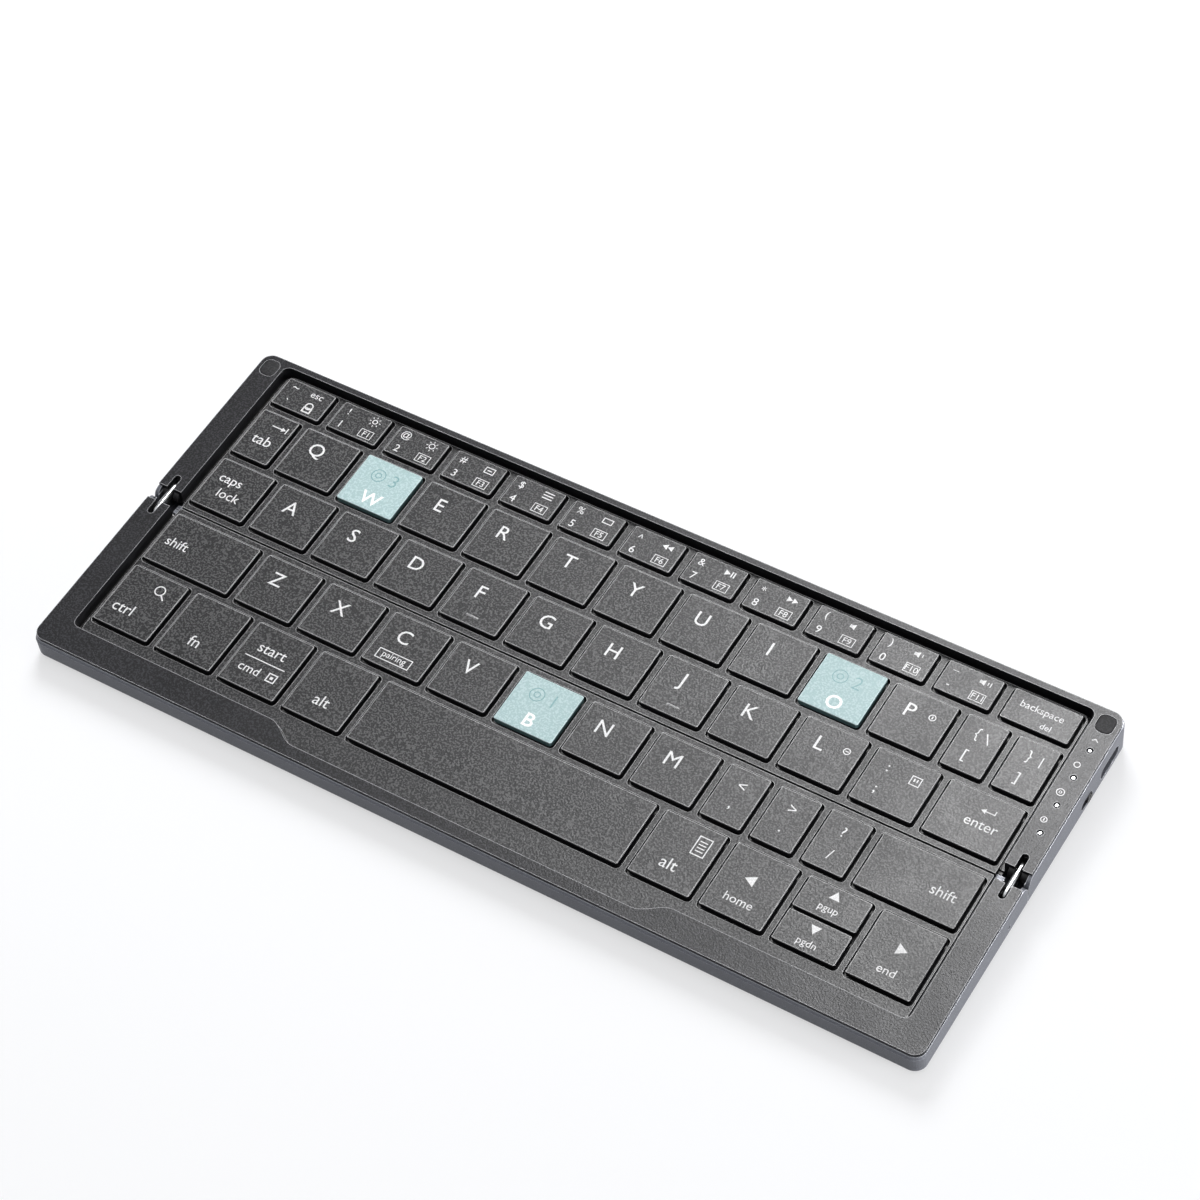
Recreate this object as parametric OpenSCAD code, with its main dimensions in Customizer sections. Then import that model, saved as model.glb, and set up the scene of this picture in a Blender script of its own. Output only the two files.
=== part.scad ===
// Folding keyboard. It folds along X on two-pivot links, deck faces inwards.
// Millimetres. It lies open on its feet on z = 0, the rear towards +Y, and the
// origin is under the middle of the case. Most shapes are drawn in the deck's
// own frame: z = 0 is the top face of the bezels, and y = 0 is the fold line.

/* [Case] */
// Width of the case along the fold
case_w = 246; // [240:1:256]
// Depth of the opened case from front to rear
case_d = 103.4; // [102.8:0.2:110]
// Slope of the deck down towards the front, in degrees
deck_tilt = 2; // [1:0.25:2.5]
// Thickness of one half at the fold, from deck to underside
mid_thickness = 8.9; // [8.8:0.1:11]
// Radius of the case corners seen from above
corner_r = 3.2; // [2:0.1:5]
// Thickness of the side walls
wall_t = 1.1; // [0.9:0.05:1.3]
// Thickness of the underside
floor_t = 0.9; // [0.7:0.05:1]
// Height of the sloping shoulder under the rim
shoulder_h = 0.9; // [0.5:0.1:1.5]
// How far the shoulder steps out on the left and right
shoulder_x = 0.15; // [0.1:0.05:0.4]
// How far the shoulder steps out on the front and rear
shoulder_y = 0.4; // [0.2:0.05:0.6]
// Chamfer round the underside
base_chamfer = 0.8; // [0.4:0.1:1.2]
// Gap between the two halves at the fold
fold_gap = 0.3; // [0.2:0.05:0.5]

/* [Bezels] */
// Thickness of the bezel's top plate over the case rim
plate_t = 0.6; // [0.5:0.05:0.8]
// Shadow gap between the bezel plate and the case rim
shadow_gap = 0.25; // [0.15:0.05:0.35]
// How far the bezel plate stands in from the case rim
plate_inset = 0.2; // [0.1:0.05:0.4]
// Full thickness of the bezel inside the case wall
bezel_t = 1.2; // [1:0.1:1.5]
// Depth of the locating skirt below the deck
skirt_depth = 2.2; // [2:0.1:2.4]
// Thickness of the skirt and of the wall round the keys
skirt_t = 0.8; // [0.6:0.05:0.9]
// Clearance between the skirt and the case wall
skirt_fit = 0.1; // [0.05:0.05:0.2]
// Radius of the opening's corners
opening_r = 2; // [1:0.1:3]
// Width of the rear bezel behind its opening
rear_strip = 1.9; // [1.85:0.05:2.4]
// Width of the front bezel in front of its opening, at the sides
front_strip = 7.5; // [7:0.1:8.5]
// Strip between the end keys and the bezel, left and right
opening_margin_x = 2.4; // [2.2:0.1:2.8]
// Strip between the number row and the rear bezel
opening_margin_rear = 1.8; // [1.7:0.05:1.85]
// Strip between the bottom row and the front bezel at the sides
opening_margin_front = 5; // [4:0.1:6]
// Extra depth of the thumb relief in front of the space bar
relief_depth = 4.1; // [2:0.1:4.4]
// Half width of the thumb relief at its front
relief_half_w = 47; // [40:0.5:50]
// Width of the curve at each end of the relief
relief_ramp_w = 9; // [6:0.5:12]
// Clearance between the two decks' rail ends while they fold
rail_clear = 0.1; // [0.05:0.01:0.15]

/* [Keys] */
// Distance from the side of the case to the end keys
field_side = 9.5; // [9.3:0.05:10]
// Gap between two keys of a row
key_gap = 2.75; // [2.5:0.05:3]
// Gap between two key rows
row_gap = 2.75; // [2.6:0.05:2.8]
// Distance from the fold line to the nearest keys
fold_margin = 2.45; // [2.3:0.05:2.5]
// Depth of the number row
number_d = 9.05; // [8.8:0.05:9.1]
// Gap between number keys
number_gap = 3.05; // [2.8:0.05:3.2]
// Gap between the up and down keys
arrow_gap = 1; // [0.8:0.05:1.4]
// Number key with its gap, in units of one letter key with its gap
number_u = 0.921; // [0.9:0.001:0.93]
// Tab key with its gap, in the same units
tab_u = 0.72; // [0.68:0.005:0.76]
// Each bracket key with its gap, in the same units
bracket_u = 0.702; // [0.68:0.001:0.74]
// Caps lock key with its gap, in the same units
caps_u = 0.974; // [0.94:0.001:1.02]
// Left shift key with its gap, in the same units
shift_u = 1.483; // [1.44:0.001:1.52]
// Each narrow key beside the right shift with its gap, in the same units
narrow_u = 0.71; // [0.68:0.005:0.73]
// Space bar with its gap, in the same units
space_u = 4.119; // [4.05:0.001:4.2]
// Depth of the key tops below the deck
key_sink = 1.6; // [1.4:0.05:1.8]
// Height of a key cap
cap_h = 1.4; // [1.3:0.05:1.5]
// Thickness of a cap's top
cap_top_t = 0.7; // [0.6:0.05:0.8]
// Thickness of a cap's sides
cap_side_t = 1; // [0.8:0.05:1.2]
// Slope of a cap's sides, as their step out at the foot
cap_draft = 0.12; // [0.05:0.01:0.2]
// Chamfer round a cap's top
cap_chamfer = 0.12; // [0.06:0.01:0.2]
// Radius of a cap's corners at its foot
cap_corner = 0.9; // [0.6:0.05:1.2]
// Length of the raised bars that the index fingers feel
homing_len = 3.2; // [2.4:0.1:4]
// Height of those bars above the cap
homing_h = 0.2; // [0.1:0.05:0.3]
// Radius of the plunger under a cap
plunger_r = 1.1; // [0.9:0.05:1.2]
// Travel of a key
key_travel = 1; // [0.8:0.05:1.05]

/* [Key web] */
// Depth of the web's top below the deck
web_sink = 2.7; // [2.6:0.05:2.8]
// Thickness of the web
web_t = 1.75; // [1.7:0.05:1.9]
// Gap between a key and its window
window_gap = 0.7; // [0.5:0.05:0.75]
// Radius of the window corners
window_r = 1.2; // [0.8:0.1:1.6]
// Width of the rim outside the end windows
web_rim = 0.45; // [0.4:0.05:0.5]
// Moat between the web and the front bezel
front_moat = 0.6; // [0.5:0.05:0.8]
// Thickness of the flange that the bezel sits on
flange_t = 0.55; // [0.5:0.05:0.7]

/* [Switch layers] */
// Thickness of the silicone sheet
sheet_t = 0.55; // [0.4:0.05:0.6]
// Thickness of the metal backing plate
backing_t = 0.6; // [0.5:0.05:0.7]
// Gap between the layers and the case walls
layer_gap = 0.2; // [0.15:0.05:0.3]
// Room left under a plunger, and under a cap, at full travel
cup_gap = 0.1; // [0.05:0.01:0.15]
// Clearance round a plunger in its cup
cup_clear = 0.25; // [0.2:0.05:0.35]
// Wall of a cup at its top
cup_wall = 0.3; // [0.25:0.05:0.4]
// Spread of a cup towards its foot
cup_spread = 0.5; // [0.3:0.05:0.6]

/* [Hinge] */
// Distance between a link's two pivots
link_span = 7.2; // [7.1:0.05:7.4]
// Gap between the two decks when folded shut
closed_gap = 0.6; // [0.4:0.05:0.8]
// Radius of a link's ends
link_r = 2.5; // [2.3:0.05:2.6]
// Thickness of a link
link_t = 1.5; // [1.2:0.05:1.6]
// Clearance on each side of a link
link_side_gap = 0.2; // [0.15:0.05:0.3]
// Clearance round a link's end
link_end_gap = 0.3; // [0.25:0.05:0.4]
// Radius of a hinge pin
pin_r = 0.9; // [0.8:0.05:1]
// Running clearance of a pin in its block
pin_fit = 0.05; // [0.03:0.01:0.08]
// Length of a hinge pin
pin_len = 4.2; // [3.8:0.1:4.3]
// Radius of the block's nose round the pin
nose_r = 2; // [1.8:0.05:2.05]
// Thickness of a block's cheek
cheek_t = 1.4; // [1.3:0.05:1.45]
// Length of a block behind the pivot
block_len = 8; // [7.5:0.1:9]
// Clearance round a block in the case
block_gap = 0.15; // [0.1:0.05:0.2]
// Distance of the block's screw from the block's rear end
block_screw_back = 2.2; // [2:0.1:2.4]
// Radius of the rounded end of each side wall at the fold
end_round_r = 2.6; // [2.2:0.05:2.7]

/* [Fittings] */
// Thickness of the rubber feet
foot_h = 0.7; // [0.5:0.05:1]
// Length of a rubber foot
foot_len = 50; // [30:1:60]
// Width of a rubber foot
foot_w = 4.4; // [3:0.1:5]
// Distance of the feet from the case's sides
foot_side = 14; // [10:0.5:20]
// Distance of the feet from the front and rear edges
foot_edge = 5; // [4.5:0.1:6]
// Width of a corner pad
pad_w = 4.2; // [3.6:0.1:4.4]
// Depth of a corner pad
pad_d = 5; // [4.6:0.1:5.4]
// How far a pad stands above the deck
pad_proud = 0.1; // [0.05:0.05:0.2]
// Depth of a pad's recess
pad_recess = 0.5; // [0.3:0.05:0.6]
// Distance from the rear edge to the middle of a pad
pad_inset = 4.4; // [4.2:0.1:5]
// Radius of a light window in the deck
light_hole_r = 0.85; // [0.7:0.05:0.95]
// Radius of a light guide's tip
light_tip_r = 0.42; // [0.3:0.02:0.5]
// Distance from a hinge block to the middle of the nearest light window
light_room = 1.65; // [1.5:0.05:2]
// Distance from the rear edge to the first light window
light_start = 12.8; // [12:0.1:14]
// Width of the charging socket
socket_w = 8.94; // [8.9:0.01:9]
// Height of the charging socket
socket_h = 3.2; // [3.1:0.01:3.3]
// Wall of the charging socket's shell
socket_t = 0.3; // [0.25:0.01:0.35]
// Thickness of the socket's tongue
tongue_t = 0.7; // [0.6:0.05:0.8]
// Width of the socket's tongue
tongue_w = 6.7; // [6.5:0.05:6.8]
// Room round a plug in the case wall
plug_room = 0.3; // [0.2:0.05:0.35]
// Distance from the rear edge to the middle of the socket
socket_back = 9.5; // [9.4:0.1:9.8]
// Thickness of the controller board
board_t = 0.6; // [0.5:0.05:0.8]
// Clearance of the board over the floor at its front edge
board_clear = 0.1; // [0.05:0.05:0.2]
// Width of the board
board_w = 34; // [30:0.5:36]
// Distance from the board's front edge to the slider at rest
board_front = 6; // [5.6:0.1:7]
// Distance from the rear edge to the slider's middle at rest
slider_back = 20.6; // [19:0.1:22]
// Length of the slider's knob
slider_len = 3; // [2.6:0.1:3.2]
// Height of the slider's knob
slider_h = 2; // [1.8:0.05:2.2]
// How far the slider's knob stands out
slider_proud = 0.45; // [0.3:0.05:0.5]
// Travel of the slider
slider_travel = 2; // [1.5:0.1:2.2]
// Clearance round the slider
slider_gap = 0.3; // [0.25:0.05:0.35]
// Thickness of the slider's flange behind the wall
slider_flange_t = 0.5; // [0.4:0.05:0.6]
// Height of the slider's middle over the socket's middle
slider_lift = 0; // [-0.2:0.05:0.3]
// Shank radius of a case screw
screw_r = 0.7; // [0.6:0.05:0.75]
// Head radius of a case screw
screw_head_r = 1.35; // [1.2:0.05:1.45]
// Thickness of a screw's head
screw_head_h = 0.5; // [0.4:0.05:0.55]
// Clearance round a case screw in the case
screw_free = 0.1; // [0.05:0.05:0.15]
// Depth of a screw's head below the underside
screw_sink = 0.15; // [0.1:0.05:0.25]
// Thread length that a screw bites into
screw_bite = 1.4; // [1:0.1:1.6]
// Radius of the reset hole in the front half's right wall
reset_r = 0.5; // [0.4:0.05:0.6]
// Distance of the reset hole from the fold
reset_y = 9.3; // [8.5:0.1:10]
// Depth of the reset hole below the deck
reset_sink = 5.7; // [5.2:0.1:5.9]
// Length of the battery cell along the fold
cell_len = 54; // [40:1:56]
// Depth of the battery cell
cell_d = 30; // [20:1:31]
// Thickness of the battery cell
cell_t = 2.2; // [2:0.05:2.3]
// Distance of the battery cell from the home row's front
cell_back = 8; // [6:0.5:9]
// Room between the ends of the battery cell and the ribs
cell_room = 2.4; // [0.5:0.1:3]
// Thickness of the ribs under the backing plate
rib_t = 1.2; // [1:0.1:1.5]
// Distance of the outer ribs from the sides of the switch layers
rib_side = 3.7; // [3:0.1:6]

/* [Hidden] */
$fn = 32;

charcoal = [0.25, 0.25, 0.26];
key_grey = [0.30, 0.30, 0.31];
pale_cyan = [0.66, 0.88, 0.89];
case_blue_grey = [0.55, 0.57, 0.63];

half_w = case_w / 2;
half_d = case_d / 2;
rim_z = -plate_t - shadow_gap;
outer_hw = half_w + shoulder_x;
outer_hd = half_d + shoulder_y;

// The deck's place over the table. The case is centred front to rear.
deck_z = foot_h + mid_thickness * cos(deck_tilt);
rear_thickness = mid_thickness + outer_hd * tan(deck_tilt);
rear_reach = outer_hd * cos(deck_tilt) + (rear_thickness - base_chamfer) * sin(deck_tilt);
front_reach = outer_hd * cos(deck_tilt) - (plate_t + shadow_gap + shoulder_h) * sin(deck_tilt);
deck_y = (front_reach - rear_reach) / 2;

// Layer heights in the deck's frame
web_top = -web_sink;
web_bottom = web_top - web_t;
flange_top = web_bottom + flange_t;
backing_top = web_bottom - sheet_t;
backing_bottom = backing_top - backing_t;
cap_top_z = -key_sink;
cap_foot_z = cap_top_z - cap_h;
pivot_y = link_span / 2;
pivot_z = -(link_span - closed_gap) / 2;
// The rail ends just clear the middle plane as they swing round the pivot
rail_setback = pivot_y - sqrt(pow(pivot_y - rail_clear, 2) - pow(pivot_z, 2));
overcut = 1;

// Key field. The Q row fills it, and sets the pitch of the letter keys.
field_hw = half_w - field_side;
key_pitch = (2 * field_hw + key_gap) / (tab_u + 10 + 2 * bracket_u);
key_w = key_pitch - key_gap;
key_d = (half_d - rear_strip - opening_margin_rear - number_d - fold_margin - 2 * row_gap) / 2;
space_d = half_d - front_strip - opening_margin_front - fold_margin - key_d - row_gap;
home_y = fold_margin;
upper_y = home_y + key_d + row_gap;
number_y = upper_y + key_d + row_gap;
field_rear = number_y + number_d;
bottom_y = fold_margin + key_d + row_gap;
field_front = bottom_y + space_d;

// Openings in the bezels
open_hw = field_hw + opening_margin_x;
open_rear = field_rear + opening_margin_rear;
open_front = field_front + opening_margin_front;
rail_x = (open_hw + half_w) / 2;
rail_w = half_w - open_hw;
rail_w_inside = outer_hw - wall_t - open_hw - skirt_t;
rail_mid = open_hw + skirt_t + rail_w_inside / 2;
web_hw = field_hw + window_gap + web_rim;
web_rear = field_rear + window_gap + web_rim;
layer_hw = open_hw - layer_gap;

// Rectangles as [x0, x1, y0, y1], y counted away from the fold
function run(x, w, y, d, n, pitch) = [for (i = [0:n - 1]) [x + i * pitch, x + i * pitch + w, y, y + d]];

number_pitch = number_u * key_pitch;
number_w = number_pitch - number_gap;
number_rects = concat(
  run(-field_hw, number_w, number_y, number_d, 12, number_pitch),
  [[-field_hw + 12 * number_pitch, field_hw, number_y, field_rear]]);

tab_w = tab_u * key_pitch - key_gap;
q_x = -field_hw + tab_u * key_pitch;
upper_rects = run(q_x, key_w, upper_y, key_d, 10, key_pitch);
bracket_x = q_x + 10 * key_pitch;
bracket_rects = run(bracket_x, bracket_u * key_pitch - key_gap, upper_y, key_d, 2, bracket_u * key_pitch);

caps_w = caps_u * key_pitch - key_gap;
a_x = -field_hw + caps_u * key_pitch;
home_rects = run(a_x, key_w, home_y, key_d, 10, key_pitch);
enter_rect = [a_x + 10 * key_pitch, field_hw, home_y, home_y + key_d];
left_edge_rects = [
  [-field_hw, -field_hw + tab_w, upper_y, upper_y + key_d],
  [-field_hw, -field_hw + caps_w, home_y, home_y + key_d]];

shift_w = shift_u * key_pitch - key_gap;
z_x = -field_hw + shift_u * key_pitch;
lower_rects = run(z_x, key_w, home_y, key_d, 7, key_pitch);
narrow_x = z_x + 7 * key_pitch;
narrow_pitch = narrow_u * key_pitch;
narrow_rects = run(narrow_x, narrow_pitch - key_gap, home_y, key_d, 3, narrow_pitch);
shift_rects = [
  [-field_hw, -field_hw + shift_w, home_y, home_y + key_d],
  [narrow_x + 3 * narrow_pitch, field_hw, home_y, home_y + key_d]];

space_w = space_u * key_pitch - key_gap;
space_rect = [-space_w / 2, space_w / 2, bottom_y, field_front];
side_x = space_w / 2 + key_gap;
modifier_rects = [for (i = [0:3]) let (x = side_x + i * key_pitch)
  [-x - (i == 3 ? field_hw - x : key_w), -x, bottom_y, field_front]];
arrow_cut = bottom_y + (space_d - arrow_gap) / 2;
right_keys_x = [for (i = [0:3]) side_x + i * key_pitch];
arrow_column = [right_keys_x[2], right_keys_x[2] + key_w];
arrow_rects = [
  [right_keys_x[0], right_keys_x[0] + key_w, bottom_y, field_front],
  [right_keys_x[1], right_keys_x[1] + key_w, bottom_y, field_front],
  [arrow_column[0], arrow_column[1], bottom_y, arrow_cut],
  [arrow_column[0], arrow_column[1], arrow_cut + arrow_gap, field_front],
  [right_keys_x[3], field_hw, bottom_y, field_front]];

rear_rects = concat(number_rects, upper_rects, bracket_rects, home_rects, [enter_rect], left_edge_rects);
front_single_rects = concat(lower_rects, narrow_rects, shift_rects, modifier_rects, [space_rect]);
front_rects = concat(front_single_rects, arrow_rects);
front_windows = concat(front_single_rects, [arrow_rects[0], arrow_rects[1], arrow_rects[4]],
  [[arrow_column[0], arrow_column[1], bottom_y, field_front]]);

upper_names = ["key_q", "key_w", "key_e", "key_r", "key_t", "key_y", "key_u", "key_i", "key_o", "key_p"];
home_names = ["key_a", "key_s", "key_d", "key_f", "key_g", "key_h", "key_j", "key_k", "key_l", "key_semicolon"];
lower_names = ["key_z", "key_x", "key_c", "key_v", "key_b", "key_n", "key_m"];
pale_keys = ["key_w", "key_o", "key_b"];
homing_keys = ["key_f", "key_j"];
function is_in(name, names) = len([for (n = names) if (n == name) n]) > 0;
function tint(name) = is_in(name, pale_keys) ? pale_cyan : key_grey;

// Moves a shape from the deck's frame to the table's
module on_deck() {
  translate([0, deck_y, deck_z]) rotate([deck_tilt, 0, 0]) children();
}

// Turns the drawing of a rear half into that of a front half
module half(s) {
  if (s > 0) children();
  else mirror([0, 1, 0]) children();
}

// Underside of a half as a plane that slopes in the deck's frame
module at_underside(s, up) {
  translate([0, 0, -mid_thickness]) rotate([-s * deck_tilt, 0, 0]) translate([0, 0, up]) children();
}

// Points of a quarter arc
function arc(cx, cy, r, a0, n = 8) = [for (i = [0:n]) [cx + r * cos(a0 + 90 * i / n), cy + r * sin(a0 + 90 * i / n)]];

// Rectangle with four rounded corners
function round_rect(x0, x1, y0, y1, r, n = 4) = concat(
  arc(x1 - r, y1 - r, r, 0, n), arc(x0 + r, y1 - r, r, 90, n),
  arc(x0 + r, y0 + r, r, 180, n), arc(x1 - r, y0 + r, r, 270, n));

// One half seen from above: square at the fold, round at its outer corners
function half_outline(hw, hd, y0, r) = concat(
  [[hw, y0]], arc(hw - r, hd - r, r, 0), arc(-hw + r, hd - r, r, 90), [[-hw, y0]]);

// Opening of the front bezel or web: a front edge with the thumb relief
function relief_curve(y, depth, w0, w1, n = 8) = [for (i = [0:n])
  [w1 + (w0 - w1) * i / n, y + depth * (1 - cos(180 * i / n)) / 2]];
function front_outline(hw, y0, y1, depth, r) = let (
    ramp = relief_curve(y1, depth, relief_half_w, relief_half_w + relief_ramp_w),
    back = [for (i = [len(ramp) - 1:-1:0]) [-ramp[i][0], ramp[i][1]]])
  concat([[hw, y0]], arc(hw - r, y1 - r, r, 0), ramp, back, arc(-hw + r, y1 - r, r, 90), [[-hw, y0]]);

module slab(points, z0, z1) {
  translate([0, 0, z0]) linear_extrude(z1 - z0) polygon(points);
}

module rect(x0, x1, y0, y1) {
  translate([x0, y0]) square([x1 - x0, y1 - y0]);
}

module block(x0, x1, y0, y1, z0, z1) {
  translate([x0, y0, z0]) cube([x1 - x0, y1 - y0, z1 - z0]);
}

module on_both_sides() {
  children();
  mirror([1, 0, 0]) children();
}

// Cylinder along X, centred
module across(x, y, z, r, len) {
  translate([x, y, z]) rotate([0, 90, 0]) cylinder(r = r, h = len, center = true);
}

// Bar along Y with round ends, seen along X
module slot_bar(x0, x1, y, z, len, h) {
  block(x0, x1, y - (len - h) / 2, y + (len - h) / 2, z - h / 2, z + h / 2);
  for (e = [-1, 1]) across((x0 + x1) / 2, y + e * (len - h) / 2, z, h / 2, x1 - x0);
}

// Links and the blocks that carry them
link_x0 = rail_mid - link_t / 2 - link_side_gap;
link_x1 = rail_mid + link_t / 2 + link_side_gap;
block_x0 = link_x0 - cheek_t;
block_x1 = link_x1 + cheek_t;
block_bottom = backing_bottom;
block_end = pivot_y + block_len;
link_pocket_end = pivot_y + link_r + link_end_gap;
slot_r = link_t / 2 + link_side_gap;
slot_y = pivot_y + link_r + link_side_gap - sqrt(pow(slot_r, 2) - pow(link_t / 2, 2));

// Screw places: case corners and hinge blocks
screw_corner = [rail_mid, half_d - corner_r + 0.2];
screw_block = [rail_mid, block_end - block_screw_back];
boss_r = screw_r + 0.8;
boss_split = bezel_t + 1.8;

// Height of the underside and of the floor in the deck's frame, y from the fold
function underside_at(s, y) = -mid_thickness - s * y * tan(deck_tilt);
function floor_at(s, y) = underside_at(s, y) + floor_t / cos(deck_tilt);

// Right wall fittings, y from the fold. The socket stands on the board.
socket_y = half_d - socket_back;
slider_y = half_d - slider_back;
board_y0 = slider_y - board_front;
board_y1 = socket_y + socket_w / 2;
board_bottom = floor_at(1, board_y0) + board_clear;
board_top = board_bottom + board_t;
socket_z = board_top + socket_h / 2;
slider_z = socket_z + slider_lift;
slider_slot_len = slider_len + slider_travel + 2 * slider_gap;
wall_in = outer_hw - wall_t;
ledge = 0.6;
inner_x = wall_in - ledge;
inner_y = outer_hd - wall_t - ledge;
socket_x0 = layer_hw + layer_gap;
board_x1 = inner_x - layer_gap;
board_x0 = board_x1 - board_w;

// Ribs under the backing plates. The cell lies between the middle one and its left neighbour.
rib_in = cell_len + 2 * cell_room + rib_t;
rib_out = layer_hw - rib_side;
rib_xs = [-rib_out, -rib_in, 0, rib_in, rib_out];

module shell_outer(s) {
  y0 = fold_gap / 2;
  lip = 0.01;
  hull() {
    slab(half_outline(half_w, half_d, y0, corner_r), rim_z - lip, rim_z);
    slab(half_outline(outer_hw, outer_hd, y0, corner_r), rim_z - shoulder_h, rim_z - shoulder_h + lip);
    at_underside(s, base_chamfer)
      slab(half_outline(outer_hw, outer_hd, y0, corner_r), 0, lip);
    at_underside(s, 0)
      slab(half_outline(outer_hw - base_chamfer, outer_hd - base_chamfer, y0 + base_chamfer,
        corner_r - base_chamfer / 2), 0, lip);
  }
}

// Flat children carried up from the floor to a height
module over_floor(s, up, top) {
  intersection() {
    translate([0, 0, -2 * mid_thickness]) linear_extrude(2 * mid_thickness + top) children();
    at_underside(s, up) block(-outer_hw, outer_hw, -overcut, case_d, 0, 2 * mid_thickness);
  }
}

// Tray of one half, with all that stands on its floor
module shell_body(s) {
  fold_wall = fold_gap / 2 + wall_t;
  difference() {
    union() {
      difference() {
        shell_outer(s);
        over_floor(s, floor_t, overcut) polygon(half_outline(inner_x, inner_y, fold_wall, corner_r - wall_t));
      }
      supports(s);
    }
    // Room for the bezel's skirt, down to the ledge
    slab(half_outline(wall_in, outer_hd - wall_t, -overcut, corner_r - wall_t), -skirt_depth, overcut);
    // Room over the fold wall for the key web
    block(-inner_x, inner_x, -overcut, fold_wall + overcut, web_bottom, overcut);
    on_both_sides() {
      over_floor(s, floor_t, overcut) rect(block_x0 - link_end_gap, inner_x, -overcut, link_pocket_end);
      // Pocket that the hinge block fills
      block(block_x0 - block_gap, block_x1 + block_gap, -overcut, block_end + block_gap, block_bottom, overcut);
      side_wall_end();
      screw_holes(s);
    }
    if (s > 0) wall_fittings_cut();
    else reset_hole();
  }
}

// Cuts a side wall's end to a quarter round that clears the other half
module side_wall_end() {
  cy = fold_gap / 2 + end_round_r;
  cz = rim_z - end_round_r;
  difference() {
    block(block_x1 + block_gap, outer_hw + overcut, -overcut, cy, cz, overcut);
    across(outer_hw, cy, cz, end_round_r, 4 * wall_t);
  }
}

// Through holes and head recesses from below
module screw_holes(s) {
  for (p = [screw_corner, screw_block]) {
    translate([p[0], p[1], -2 * mid_thickness]) cylinder(r = screw_r + screw_free, h = 2 * mid_thickness);
    translate([p[0], p[1], underside_at(s, p[1]) - overcut])
      cylinder(r = screw_head_r + screw_free, h = overcut + screw_head_h + screw_sink);
  }
}

// Ribs, rails, seats and bosses that stand on the floor
module supports(s) {
  in_floor = floor_t / 2;
  last = (s > 0 ? web_rear : open_front - front_moat) - layer_gap;
  // Ribs under the backing plate
  for (x = rib_xs) {
    stop = s > 0 && x > board_x0 ? board_y0 - layer_gap : last;
    over_floor(s, in_floor, backing_bottom) rect(x - rib_t / 2, x + rib_t / 2, fold_gap, stop);
  }
  for (side = [-1, 1]) mirror([side < 0 ? 1 : 0, 0, 0]) {
    // Rail under the web's flange
    stop = s > 0 && side > 0 ? board_y0 - layer_gap : last;
    over_floor(s, in_floor, web_bottom)
      rect(layer_hw + layer_gap, layer_hw + layer_gap + rib_t, block_end + block_gap, stop);
    // Seat of the hinge block
    over_floor(s, in_floor, block_bottom) rect(block_x0, block_x1, link_pocket_end, block_end);
    // Corner boss
    over_floor(s, in_floor, -boss_split) translate(screw_corner) circle(r = boss_r);
  }
  // Posts under the board
  if (s > 0) over_floor(s, in_floor, board_bottom)
    for (x = [board_x0 + 3, board_x1 - 3], y = [board_y0 + 3, board_y1 - 3]) translate([x, y]) circle(r = boss_r);
}

// Charging port and slider slot in the right wall
module wall_fittings_cut() {
  x0 = inner_x - overcut;
  slot_bar(x0, outer_hw + overcut, socket_y, socket_z, socket_w + 2 * plug_room, socket_h + 2 * plug_room);
  slot_bar(x0, outer_hw + overcut, slider_y - slider_travel / 2, slider_z,
    slider_slot_len, slider_h + 2 * slider_gap);
}

module reset_hole() {
  across(outer_hw, reset_y, -reset_sink, reset_r, 4 * wall_t);
}

module rear_lower_shell() {
  color(case_blue_grey) on_deck() shell_body(1);
}

module front_lower_shell() {
  color(case_blue_grey) on_deck() half(-1) shell_body(-1);
}

module rear_opening(grow, y0) {
  polygon(half_outline(open_hw + grow, open_rear + grow, y0, opening_r));
}

module front_opening(grow, y0) {
  polygon(front_outline(open_hw + grow, y0, open_front + grow, relief_depth, opening_r));
}

module opening(s, grow, y0) {
  if (s > 0) rear_opening(grow, y0);
  else front_opening(grow, y0);
}

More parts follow.
